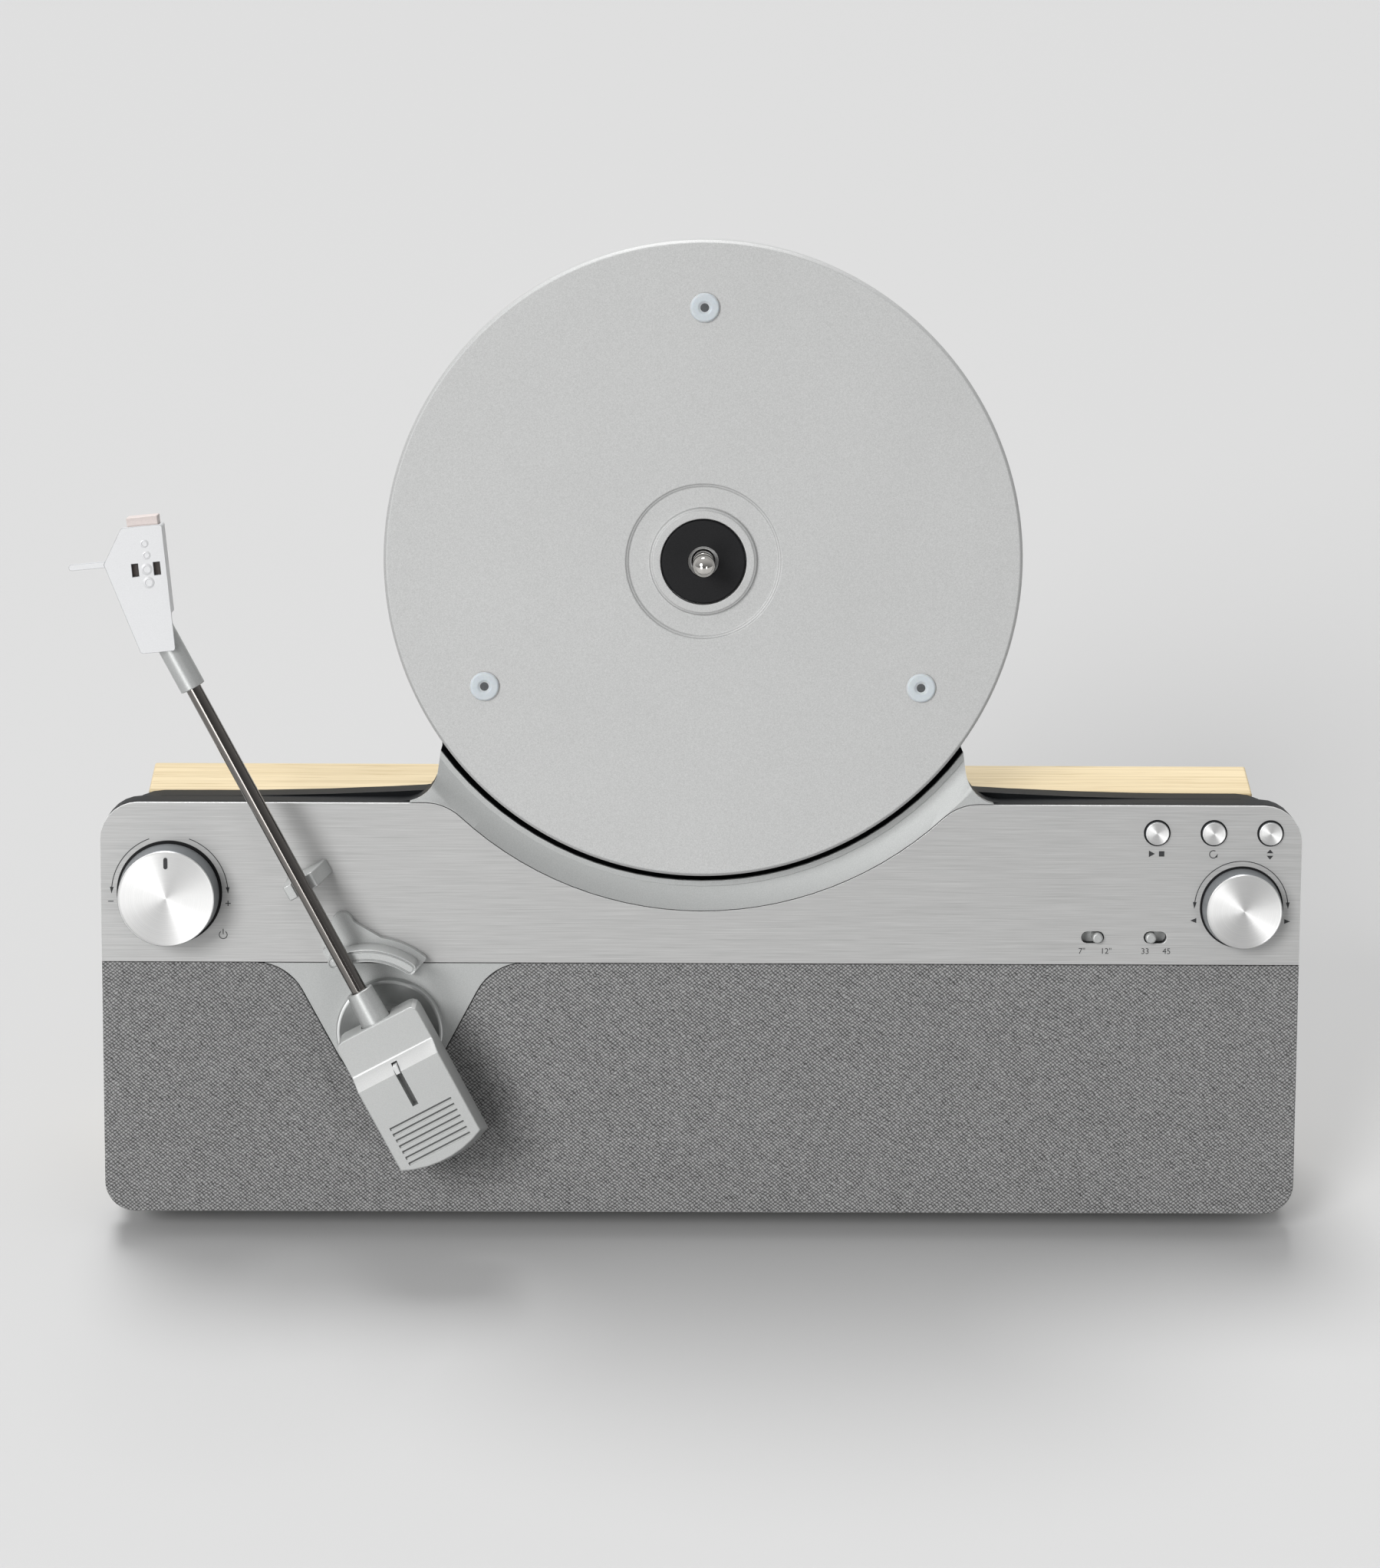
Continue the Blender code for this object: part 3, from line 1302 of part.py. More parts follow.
def build_head():
    high = head_top - arm_height
    low = high - head_depth
    under = high - head_plate
    head = plate("headshell", [head_outline()], low, high, silver, head_frame)
    inner = head_outline(head_wall)
    inner[0] = (inner[0][0], -overrun)
    inner[1] = (inner[1][0], -overrun)
    inner[2] = (inner[2][0], head_length + overrun)
    inner[3] = (inner[3][0], head_length + overrun)
    cut(head, plate("head_pocket", [inner], low - overrun, under, silver, head_frame))
    wide = head_elbow_left
    mouth = box("head_mouth", -wide, wide, -overrun, head_open_end, low - overrun, under, silver, head_frame)
    cut(head, mouth)
    for side in (-1, 1):
        middle = -head_axis_shift + side * head_slot_apart
        half = head_slot_width / 2
        cut(head, box("head_slot", middle - half, middle + half, head_slot_rise - head_slot_length / 2,
                      head_slot_rise + head_slot_length / 2, under - overrun, high + overrun, silver,
                      head_frame))
    half = finger_width / 2
    tip = arc((-finger_reach + half, head_elbow_rise), half, math.pi / 2, 3 * math.pi / 2, arc_steps)
    root_x = -head_elbow_left + finger_root
    strip = tip + [(root_x, head_elbow_rise - half), (root_x, head_elbow_rise + half)]
    lift = plate("finger_lift", [strip], high - head_plate / 2 - finger_thickness / 2,
                 high - head_plate / 2 + finger_thickness / 2, silver, head_frame)
    add(head, lift)

    top = under - seat_gap
    box("cartridge", -cartridge_left, cartridge_right, cartridge_back, head_length + cartridge_proud,
        cartridge_bottom - arm_height, top, pale_plastic, head_frame)
    body_low = stylus_body_bottom - arm_height
    body_top = cartridge_bottom - arm_height - seat_gap
    tip_low = stylus_tip_height - arm_height
    profile = [(0, body_top), (stylus_body_radius, body_top), (stylus_body_radius, body_low),
               (stylus_tip_radius, tip_low), (0, tip_low)]
    place = (-head_axis_shift, head_length + cartridge_proud - stylus_back_from_tip, 0)
    turned("stylus", profile, red_plastic, head_frame, place, steps=pin_steps)


# Controls

def knob_profile(radius, gap, height, bore, bore_roof):
    """A knob that flares a little towards its foot, with a blind bore from below."""
    return [(0, height), (radius - knob_bevel, height), (radius, height - knob_bevel),
            (radius + knob_flare, gap), (bore, gap), (bore, bore_roof), (0, bore_roof)]


def encoder(name, axis_x, axis_y):
    """A square rotary part behind the panel, with a blind bore for its shaft."""
    half = encoder_width / 2
    top = -lining_depth - seat_gap
    low = top - encoder_depth
    body = box(name, axis_x - half, axis_x + half, axis_y - half, axis_y + half, low, top, steel, face)
    bore = shaft_radius + hole_clearance
    floor = -shaft_depth - volume_gap
    profile = [(0, overrun), (bore, overrun), (bore, floor), (0, floor)]
    cut(body, turned(name + "_bore", profile, steel, face, (axis_x, axis_y, 0), steps=small_steps))


def build_knobs():
    bore = shaft_radius + hole_clearance
    profile = knob_profile(volume_radius, volume_gap, volume_height, bore, volume_shaft_top + seat_gap)
    knob = turned("volume_knob", profile, spun, volume_axis)
    tip = volume_radius - pointer_edge
    cut(knob, box("pointer_cutter", -pointer_width / 2, pointer_width / 2, tip - pointer_length, tip,
                  volume_height - pointer_depth, volume_height + overrun, spun, volume_axis))
    shaft = [(0, volume_shaft_top), (shaft_radius, volume_shaft_top), (shaft_radius, -shaft_depth),
             (0, -shaft_depth)]
    turned("volume_shaft", shaft, steel, volume_axis, steps=small_steps)
    encoder("volume_encoder", volume_x, volume_y)

    profile = [(0, jog_height), (jog_radius - knob_bevel, jog_height), (jog_radius, jog_height - knob_bevel),
               (jog_radius + knob_flare, jog_gap), (shaft_radius, jog_gap), (shaft_radius, -shaft_depth),
               (0, -shaft_depth)]
    turned("jog_knob", profile, spun, jog_axis)
    encoder("jog_encoder", jog_x, jog_y)


def build_buttons():
    flange_top = -lining_depth - seat_gap
    flange_low = flange_top - button_flange
    edge = button_radius - button_bevel
    profile = [(0, button_proud), (edge, button_proud), (button_radius, button_proud - button_bevel),
               (button_radius, flange_top), (button_flange_radius, flange_top),
               (button_flange_radius, flange_low), (button_radius / 2, flange_low),
               (button_radius / 2, -button_depth), (0, -button_depth)]
    for name, x in zip(("start_button", "repeat_button", "cueing_button"), button_places):
        turned(name, profile, spun, face, (x, button_y, 0), steps=small_steps)

    foot_top = -lining_depth - seat_gap
    foot_low = foot_top - switch_foot_thickness
    edge = switch_radius - button_bevel
    profile = [(0, switch_proud), (edge, switch_proud), (switch_radius, switch_proud - button_bevel),
               (switch_radius, foot_low), (0, foot_low)]
    half_l = switch_foot_length / 2
    half_w = switch_foot_width / 2
    for name, x in (("size_switch", size_x + switch_shift), ("speed_switch", speed_x - switch_shift)):
        cap = turned(name, profile, silver, face, (x, switch_y, 0), steps=small_steps)
        add(cap, box(name + "_foot", -half_l, half_l, -half_w, half_w, foot_low, foot_top, silver, face,
                     (x, switch_y, 0)))


def build_control_board():
    """Board behind the panel's right end, on posts, with a body under each button and slide switch."""
    low = -control_board_depth
    high = low + board_plate
    left = size_x - switch_body_length / 2 - control_board_left
    right = half_width - frame_rim - control_board_margin
    bottom = seam + seam_bar_above + control_board_margin
    top = top_edge - frame_top_rim - control_board_margin
    jog_cut = encoder_width / 2 + hole_clearance
    board = plate("control_board", [rounded_box(left, right, bottom, top, window_radius / 2),
                                    centred_box(jog_x, jog_y, 2 * jog_cut, 2 * jog_cut)],
                  low, high, board_green, face)
    post_top = -lining_depth - seat_gap
    sunk = high - board_plate / 2
    profile = [(0, post_top), (control_post_radius, post_top), (control_post_radius, sunk), (0, sunk)]
    inset = control_post_inset
    between_buttons = (button_places[1] + button_places[2]) / 2
    for x, y in ((left + inset, bottom + inset), (left + inset, top - inset), (right - inset, bottom + inset),
                 (between_buttons, top - inset)):
        add(board, turned("control_post", profile, steel, face, (x, y, 0), steps=pin_steps))
    half = button_body_width / 2
    for x in button_places:
        add(board, box("button_body", x - half, x + half, button_y - half, button_y + half, sunk,
                       -button_depth - button_travel - seat_gap, steel, face))
    half_l = switch_body_length / 2
    half_w = switch_body_width / 2
    for x in (size_x, speed_x):
        add(board, box("switch_body", x - half_l, x + half_l, switch_y - half_w, switch_y + half_w, sunk,
                       high + switch_body_height, steel, face))


def centre_footprint():
    """Moves the root so that the player's outer box is centred over the world's origin."""
    bpy.context.view_layer.update()
    shown = bpy.context.evaluated_depsgraph_get()
    low = [math.inf, math.inf]
    high = [-math.inf, -math.inf]
    for item in parts.objects:
        solid = item.evaluated_get(shown)
        mesh = solid.to_mesh()
        for vertex in mesh.vertices:
            point = solid.matrix_world @ vertex.co
            for axis in (0, 1):
                low[axis] = min(low[axis], point[axis])
                high[axis] = max(high[axis], point[axis])
        solid.to_mesh_clear()
    root.location.x = -(low[0] + high[0]) / 2
    root.location.y = -(low[1] + high[1]) / 2
    bpy.context.view_layer.update()


inlet_x, jack_x, back_y = build_cabinet()
build_sockets(inlet_x, jack_x, back_y)
build_main_board()
build_speakers(build_front())
build_platter()
build_drive()
build_arm_base()
build_lift()
build_turret()
build_carriage()
build_block()
build_head()
build_knobs()
build_buttons()
build_control_board()
centre_footprint()
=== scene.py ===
# Looks of the vertical record player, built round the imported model

import json
import math

import bmesh
import bpy
import numpy as np
from mathutils import Matrix, Vector


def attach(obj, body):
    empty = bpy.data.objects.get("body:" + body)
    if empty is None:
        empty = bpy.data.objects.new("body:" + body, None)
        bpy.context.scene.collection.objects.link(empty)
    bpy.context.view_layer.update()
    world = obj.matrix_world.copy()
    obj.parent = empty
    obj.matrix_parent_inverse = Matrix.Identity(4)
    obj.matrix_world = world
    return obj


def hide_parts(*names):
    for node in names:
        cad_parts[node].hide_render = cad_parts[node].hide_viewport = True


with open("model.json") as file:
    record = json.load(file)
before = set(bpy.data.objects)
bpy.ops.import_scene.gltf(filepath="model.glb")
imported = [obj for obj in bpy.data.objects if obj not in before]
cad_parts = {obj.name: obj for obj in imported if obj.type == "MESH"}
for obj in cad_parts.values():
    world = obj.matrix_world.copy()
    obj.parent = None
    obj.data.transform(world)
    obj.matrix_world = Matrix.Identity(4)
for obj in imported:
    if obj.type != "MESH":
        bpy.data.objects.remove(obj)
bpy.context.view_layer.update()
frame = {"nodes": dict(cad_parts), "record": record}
mm = 0.001
print("frame loaded")


# The leaning front's own frame: x to the right, s up the slope, h out of the front
lean = math.radians(16.5)
joints = {joint["name"]: joint for joint in frame["record"]["behaviour"]["joints"]}
platterCentreUp = 218.4 * mm
platterSpot = Vector(joints["platter_spin"]["pos_m"])
faceTurn = Matrix.Rotation(math.pi / 2 - lean, 3, "X")
faceOut = faceTurn.col[2]
faceOrigin = platterSpot - faceTurn @ Vector((0, platterCentreUp, 0))
faceMatrix = Matrix.Translation(faceOrigin) @ faceTurn.to_4x4()
platterMatrix = faceMatrix @ Matrix.Translation((0, platterCentreUp, 0))

armSpot = Vector((-102.6, 61.9, 0)) * mm
armHeight = 18.6 * mm
armAngle = math.radians(28.0)
armMatrix = faceMatrix @ Matrix.Translation(armSpot) @ Matrix.Rotation(armAngle, 4, "Z")
tiltMatrix = armMatrix @ Matrix.Translation((0, 0, armHeight))
headMatrix = (tiltMatrix @ Matrix.Translation((-3.5 * mm, 147.5 * mm, 0))
              @ Matrix.Rotation(math.radians(-22.4), 4, "Z"))


def addItem(name, data):
    item = bpy.data.objects.new(name, data)
    bpy.context.scene.collection.objects.link(item)
    return item


# Camera, at the place worked out from the photograph's edges and circle
camera = {
    "place": (-14.05, -1385.48, 805.34), "pitch": 25.523, "yaw": 0.54, "roll": 0.438,
    "lensPixels": 6061.95, "frameHeight": 2044, "sensorHeight": 36,
}


def addCamera(c):
    pitch, yaw, roll = (math.radians(c[key]) for key in ("pitch", "yaw", "roll"))
    flatAhead = Vector((math.sin(yaw), math.cos(yaw), 0))
    ahead = flatAhead * math.cos(pitch) - Vector((0, 0, math.sin(pitch)))
    level = Vector((math.cos(yaw), -math.sin(yaw), 0))
    upward = level.cross(ahead)
    right = level * math.cos(roll) + upward * math.sin(roll)
    top = upward * math.cos(roll) - level * math.sin(roll)
    data = bpy.data.cameras.new("camera")
    data.sensor_fit = "VERTICAL"
    data.sensor_height = c["sensorHeight"]
    data.lens = c["lensPixels"] * c["sensorHeight"] / c["frameHeight"]
    item = addItem("camera", data)
    turn = Matrix((right, top, -ahead)).transposed().to_4x4()
    item.matrix_world = Matrix.Translation(Vector(c["place"]) * mm) @ turn
    bpy.context.scene.camera = item


addCamera(camera)
looks = {}


def newNode(tree, kind, inputs=None, **settings):
    # a shader node with its settings; each input is a value or another node's output
    node = tree.nodes.new("ShaderNode" + kind)
    for key, value in settings.items():
        setattr(node, key, value)
    for socket, value in (inputs or {}).items():
        if isinstance(value, bpy.types.NodeSocket):
            tree.links.new(value, node.inputs[socket])
        else:
            node.inputs[socket].default_value = value
    return node


def newLook(name, recipe):
    look = bpy.data.materials.new(name)
    look.use_nodes = True
    shader = look.node_tree.nodes["Principled BSDF"]
    shader.inputs["Base Color"].default_value = (*recipe["colour"], 1)
    shader.inputs["Roughness"].default_value = recipe["roughness"]
    shader.inputs["Metallic"].default_value = recipe.get("metallic", 0)
    for socket, value in recipe.get("sockets", {}).items():
        shader.inputs[socket].default_value = value
    looks[name] = look
    return look.node_tree, shader


# Studio: pale floor, soft surroundings that fade towards the front, two soft lights and two tall cards
studio = {
    "floorHalf": 9.0, "floorShade": (0.16, 0.16, 0.16, 1),
    "floor": {"colour": (0.51, 0.51, 0.51), "roughness": 0.6, "sockets": {"Specular IOR Level": 0.25}},
    "towardsBack": (-0.15, 0.62, 0.77),
    "surround": {"From Min": -0.75, "From Max": 1.0, "To Min": 0.13, "To Max": 0.62},
    "lights": [
        ("keyLight", (-0.50, -0.74, 0.56), 24, 1.6),
        ("backLight", (-0.12, 0.46, 0.88), 24, 2.2),
    ],
    "cards": [
        ("leftCard", (-1.05, -2.3, 0.36), (0.8, 1.0), 15.0),
        ("rightCard", (1.15, -2.2, 0.40), (0.45, 0.9), 5.0),
    ],
    "cardAim": (0, 0, 0.15),
}


def addFloor(c):
    half = c["floorHalf"]
    corners = [(-half, -half, 0), (half, -half, 0), (half, half, 0), (-half, half, 0)]
    mesh = bpy.data.meshes.new("floor")
    mesh.from_pydata(corners, [], [(0, 1, 2, 3)])
    tree, pale = newLook("paleFloor", c["floor"])
    # the floor is pale to the camera and in reflections, and throws little light back at the object
    shade = newNode(tree, "BsdfDiffuse", {"Color": c["floorShade"]})
    path = newNode(tree, "LightPath")
    seen = path.outputs["Is Camera Ray"]
    for ray in ("Is Glossy Ray", "Is Transmission Ray"):
        seen = newNode(tree, "Math", {0: seen, 1: path.outputs[ray]}, operation="MAXIMUM").outputs["Value"]
    mix = newNode(tree, "MixShader", {"Fac": seen, 1: shade.outputs["BSDF"], 2: pale.outputs["BSDF"]})
    tree.links.new(mix.outputs["Shader"], tree.nodes["Material Output"].inputs["Surface"])
    mesh.materials.append(looks["paleFloor"])
    addItem("floor", mesh)


def addSurroundings(c):
    # the surroundings go from dark in front, where the viewer stands, to pale above and behind
    world = bpy.data.worlds.new("surroundings")
    bpy.context.scene.world = world
    world.use_nodes = True
    tree = world.node_tree
    ground = tree.nodes["Background"]
    ground.inputs["Strength"].default_value = 1.0
    way = newNode(tree, "TexCoord").outputs["Generated"]
    toBack = newNode(tree, "VectorMath", {0: way, 1: c["towardsBack"]}, operation="DOT_PRODUCT")
    fade = newNode(tree, "MapRange", {**c["surround"], "Value": toBack.outputs["Value"]},
                   interpolation_type="SMOOTHSTEP")
    tree.links.new(fade.outputs["Result"], ground.inputs["Color"])


def addLights(c):
    for name, way, angle, power in c["lights"]:
        data = bpy.data.lights.new(name, "SUN")
        data.angle = math.radians(angle)
        data.energy = power
        addItem(name, data).rotation_euler = Vector(way).to_track_quat("Z", "Y").to_euler()
    for name, place, size, power in c["cards"]:
        data = bpy.data.lights.new(name, "AREA")
        data.shape = "RECTANGLE"
        data.size, data.size_y = size
        data.energy = power
        lamp = addItem(name, data)
        lamp.location = place
        lamp.rotation_euler = (Vector(c["cardAim"]) - Vector(place)).to_track_quat("-Z", "Y").to_euler()


addFloor(studio)
addSurroundings(studio)
addLights(studio)
bpy.context.scene.view_settings.view_transform = "Standard"
print("camera and studio ready")


# Materials: the parts that every finish is built from
evenStops = (0.3, 0.7)  # where a noise's dark and light tones begin


def stretched(tree, vector, scale):
    # scale is in 1/m, one number or one for each axis
    scale = np.broadcast_to(scale, 3).tolist()
    return newNode(tree, "VectorMath", {0: vector, 1: scale}, operation="MULTIPLY").outputs["Vector"]


def faceCoordinates(tree, scale, turned=True):
    # object coordinates, turned so that their second axis runs up the leaning front
    place = newNode(tree, "TexCoord").outputs["Object"]
    turn = (lean - math.pi / 2 if turned else 0, 0, 0)
    mapping = newNode(tree, "Mapping", {"Vector": place, "Rotation": turn})
    return stretched(tree, mapping.outputs["Vector"], scale)


def onMap(tree, name):
    return newNode(tree, "UVMap", uv_map=name).outputs["UV"]


def noise(tree, vector, scale=1.0, detail=2.0, rough=0.5):
    return newNode(tree, "TexNoise", {"Vector": vector, "Scale": scale, "Detail": detail,
                                      "Roughness": rough}).outputs["Fac"]


def calc(tree, operation, *values):
    return newNode(tree, "Math", dict(enumerate(values)), operation=operation).outputs["Value"]


def ramp(tree, value, low, high, stops=evenStops):
    # turns a 0 to 1 value into a colour between two tones
    node = newNode(tree, "ValToRGB", {"Fac": value})
    for element, tone, stop in zip(node.color_ramp.elements, (low, high), stops):
        element.position = stop
        element.color = (*np.broadcast_to(tone, 3).tolist(), 1)
    return node.outputs["Color"]


def shaded(tree, value, c, stops=evenStops):
    # the finish's own colour, times its low and high share
    low, high = (np.multiply(c["colour"], share) for share in c["shares"])
    return ramp(tree, value, low, high, stops)


def multiply(tree, one, other):
    return newNode(tree, "Mix", {"Factor": 1.0, "A": one, "B": other},
                   data_type="RGBA", blend_type="MULTIPLY").outputs["Result"]


def bump(tree, shader, height, strength, depth):
    node = newNode(tree, "Bump", {"Strength": strength, "Distance": depth * mm, "Height": height})
    tree.links.new(node.outputs["Normal"], shader.inputs["Normal"])


def varyRoughness(tree, shader, value, c):
    # the roughness goes up and down round its own value, by half the shift each way
    spread = calc(tree, "MULTIPLY_ADD", value, c["roughShift"], c["roughness"] - c["roughShift"] / 2)
    tree.links.new(spread, shader.inputs["Roughness"])


def drawnOut(tree, shader, name):
    # the sheen follows the direction of a map
    tangent = newNode(tree, "Tangent", direction_type="UV_MAP", uv_map=name)
    tree.links.new(tangent.outputs["Tangent"], shader.inputs["Tangent"])


# Plain finishes: a colour broken up by noise, between two shares of its tone. The scale is in 1/m, and a row
# may end with other values: the bump's depth in mm, the noise's detail, or "broad", a second, wider noise
finishKeys = ("colour", "roughness", "metallic", "scale", "shares", "bump")
finishes = {
    "silverPaint": ((0.5, 0.51, 0.505), 0.4, 0.55, 3400, (0.9, 1.08), 0.12, {"broad": (40, 0.98, 1.0)}),
    "sandedPlatter": ((0.55, 0.554, 0.55), 0.62, 0.45, 3000, (0.88, 1.1), 0.16,
                      {"depth": 0.04, "broad": (26, 0.975, 1.0)}),
    "surroundSilver": ((0.46, 0.47, 0.465), 0.56, 0.4, 3400, (0.9, 1.08), 0.12),
    "armCapSilver": ((0.5, 0.508, 0.502), 0.42, 0.4, 3400, (0.93, 1.05), 0.1),
    # painted highlight: the arm cover's slanting step, lighter than the cover's own silver
    "stepPaintedHighlight": ((0.66, 0.665, 0.66), 0.4, 0.3, 3400, (0.93, 1.05), 0.1),
    # painted shade: dark strips on the floors of the arm cover's grooves
    "groovePaintedShade": ((0.12, 0.124, 0.122), 0.6, 0, 2200, (0.85, 1.15), 0.06),
    "headshellSilver": ((0.72, 0.725, 0.735), 0.46, 0.2, 2600, (0.97, 1.02), 0.05),
    # painted highlight: the lit rounded edges of the front panel and the platter surround
    "edgePaintedHighlight": ((0.86, 0.865, 0.86), 0.34, 0.35, 1500, (0.94, 1.04), 0.06),
    # painted shade: the darker sides of the knobs and buttons and the headshell's rounded edges
    "sidePaintedShade": ((0.26, 0.275, 0.29), 0.38, 0.8, 2600, (0.92, 1.05), 0.06, {"depth": 0.02}),
    "sliderSilver": ((0.72, 0.725, 0.72), 0.45, 0.1, 2600, (0.95, 1.03), 0.06),
    "plainSteel": ((0.5, 0.49, 0.48), 0.3, 1.0, (700, 700, 60), (0.88, 1.05), 0.1,
                   {"turned": False, "detail": 3.0}),
    "polishedChrome": ((0.62, 0.6, 0.57), 0.07, 1.0, 260, (0.95, 1.03), 0,
                       {"detail": 3.0, "roughShift": 0.04}),
    "tubeChrome": ((0.2, 0.188, 0.178), 0.11, 1.0, 120, (0.96, 1.03), 0, {"roughShift": 0.02}),
    "satinBlack": ((0.007, 0.008, 0.009), 0.5, 0, 2600, (0.8, 1.3), 0.1,
                   {"sockets": {"Specular IOR Level": 0.1}}),
    # the hub's own black, used also for the painted shade in the gaps round the knobs and buttons
    "hubBlackAndGapShade": ((0.008, 0.008, 0.009), 0.6, 0, 2200, (0.8, 1.3), 0.1,
                 {"sockets": {"Specular IOR Level": 0.22}}),
    # painted shade: dark strips in the headshell's slots
    "slotPaintedShade": ((0.02, 0.014, 0.011), 0.6, 0, 1500, (0.7, 1.5), 0.1),
    "footRubber": ((0.022, 0.022, 0.023), 0.8, 0, 900, (0.8, 1.3), 0.3, {"detail": 3.0, "depth": 0.1}),
    "paintedFibreboard": ((0.035, 0.033, 0.031), 0.8, 0, 600, (0.75, 1.2), 0.3,
                          {"detail": 4.0, "depth": 0.1}),
    "conePaper": ((0.022, 0.022, 0.022), 0.9, 0, 500, (0.7, 1.4), 0.4, {"detail": 4.0, "depth": 0.1}),
    "boardGreen": ((0.02, 0.12, 0.05), 0.4, 0, 220, (0.8, 1.3), 0.1, {"detail": 3.0}),
    "cartridgePale": ((0.66, 0.585, 0.56), 0.5, 0, 1800, (0.95, 1.04), 0.06),
    "pulleyPlastic": ((0.62, 0.6, 0.55), 0.5, 0, 1500, (0.94, 1.04), 0.06),
    "stylusRed": ((0.4, 0.03, 0.02), 0.35, 0, 900, (0.9, 1.1), 0.1, {"depth": 0.04}),
    "printBlack": ((0.02, 0.02, 0.022), 0.6, 0, 1800, (0.8, 1.4), 0),
    "padSilicone": ((0.8, 0.805, 0.81), 0.4, 0, 1200, (0.96, 1.02), 0,
                    {"sockets": {"Transmission Weight": 0.1, "IOR": 1.42, "Subsurface Weight": 0.2}}),
    "padEyeGrey": ((0.07, 0.075, 0.08), 0.5, 0, 2200, (0.8, 1.2), 0.1),
}
usualDepth = 0.03


def grained(name, c):
    tree, shader = newLook(name, c)
    turned = c.get("turned", True)
    value = noise(tree, faceCoordinates(tree, c["scale"], turned), detail=c.get("detail", 2.0), rough=0.6)
    colour = shaded(tree, value, c)
    if "broad" in c:
        scale, low, high = c["broad"]
        wide = noise(tree, faceCoordinates(tree, scale, turned), detail=3.0)
        colour = multiply(tree, colour, ramp(tree, wide, low, high))
    tree.links.new(colour, shader.inputs["Base Color"])
    if "roughShift" in c:
        varyRoughness(tree, shader, value, c)
    if c["bump"]:
        bump(tree, shader, value, c["bump"], c.get("depth", usualDepth))


for name, row in finishes.items():
    recipe = dict(zip(finishKeys, row))
    for others in row[len(finishKeys):]:
        recipe.update(others)
    grained(name, recipe)


# Brushed sheet: hairlines along the panel at two scales, a few long scratches, and a sheen drawn out
brushedFinish = {
    "colour": (0.53, 0.53, 0.525), "roughness": 0.62, "metallic": 0.5, "sockets": {"Anisotropic": 0.5},
    "hair": (4200, 55), "line": (2300, 20), "scratch": (2600, 14), "hairShare": 0.6,
    "shares": (0.84, 1.1), "stops": (0.34, 0.66), "scratchTone": 0.90, "scratchStops": (0.30, 0.40),
    "roughShift": 0.14, "bump": 0.12,
}


def brushedLook(name, c):
    # the map's first axis runs up the slope, its second along the hairlines, both in metres
    tree, shader = newLook(name, c)
    place = onMap(tree, "brushMap")
    hair, line, scratch = (noise(tree, stretched(tree, place, (*c[key], 1)), rough=0.6)
                           for key in ("hair", "line", "scratch"))
    lineShare = calc(tree, "MULTIPLY", line, 1 - c["hairShare"])
    mixed = calc(tree, "MULTIPLY_ADD", hair, c["hairShare"], lineShare)
    scratches = ramp(tree, scratch, c["scratchTone"], 1.0, c["scratchStops"])
    colour = multiply(tree, shaded(tree, mixed, c, c["stops"]), scratches)
    tree.links.new(colour, shader.inputs["Base Color"])
    varyRoughness(tree, shader, mixed, c)
    drawnOut(tree, shader, "brushMap")
    bump(tree, shader, mixed, c["bump"], usualDepth)


brushedLook("brushedPanel", brushedFinish)


# Oak: long fibres along the cabinet, broader bands and short dark pores
oakFinish = {
    "colour": (0.62, 0.50, 0.30), "roughness": 0.5,
    "light": (0.71, 0.59, 0.38), "dark": (0.54, 0.425, 0.24), "pore": (0.74, 0.68, 0.58),
    "fibre": (7, 900, 4.0, 0.6), "band": (2.4, 130, 3.0, 0.5), "pores": (34, 2200, 2.0, 0.6),
    "fibreShare": 0.55, "stops": (0.36, 0.58), "poreStops": (0.30, 0.42),
    "roughShift": 0.2, "roughLow": 0.42, "bump": (0.25, 0.1), "endFrom": 0.7,
}


def oakLook(name, c):
    tree, shader = newLook(name, c)
    apart = newNode(tree, "SeparateXYZ", {"Vector": newNode(tree, "TexCoord").outputs["Normal"]})
    ends = calc(tree, "GREATER_THAN", calc(tree, "ABSOLUTE", apart.outputs["X"]), c["endFrom"])

    def grain(along, across, detail, rough):
        # long fibres run left to right, and upwards on the two end boards
        level = faceCoordinates(tree, (along, across, across), False)
        upright = faceCoordinates(tree, (across, across, along), False)
        pick = newNode(tree, "Mix", {"Factor": ends, 4: level, 5: upright}, data_type="VECTOR")
        return noise(tree, pick.outputs[1], 1.0, detail, rough)

    fibre, band, pores = (grain(*c[key]) for key in ("fibre", "band", "pores"))
    bandShare = calc(tree, "MULTIPLY", band, 1 - c["fibreShare"])
    mixed = calc(tree, "MULTIPLY_ADD", fibre, c["fibreShare"], bandShare)
    colour = multiply(tree, ramp(tree, mixed, c["dark"], c["light"], c["stops"]),
                      ramp(tree, pores, c["pore"], 1, c["poreStops"]))
    tree.links.new(colour, shader.inputs["Base Color"])
    rough = calc(tree, "MULTIPLY_ADD", fibre, c["roughShift"], c["roughLow"])
    tree.links.new(rough, shader.inputs["Roughness"])
    bump(tree, shader, calc(tree, "ADD", fibre, pores), *c["bump"])


oakLook("lightOak", oakFinish)


# Grille cloth: a fine knit of slanting stitches, read from the cloth's own map in metres. Each noise that
# bends the stitches has its scale, then how far it moves them across and up
clothFinish = {
    "colour": (0.20, 0.20, 0.195), "roughness": 0.92,
    "sockets": {"Sheen Weight": 0.15, "Sheen Roughness": 0.5},
    "columnWidth": 1.5, "rowHeight": 1.25, "bends": ((420.0, 1.0, 0.9), (22.0, 1.6, 1.2)),
    "dark": 0.018, "light": 0.50, "stops": (0.02, 0.95),
    "domePower": 0.8, "domeShadeShare": 0.70, "ownShare": 0.16, "hair": 3200.0, "hairShare": 0.35,
    "patch": (35.0, 0.97, 1.02), "bump": (0.5, 0.2),
}


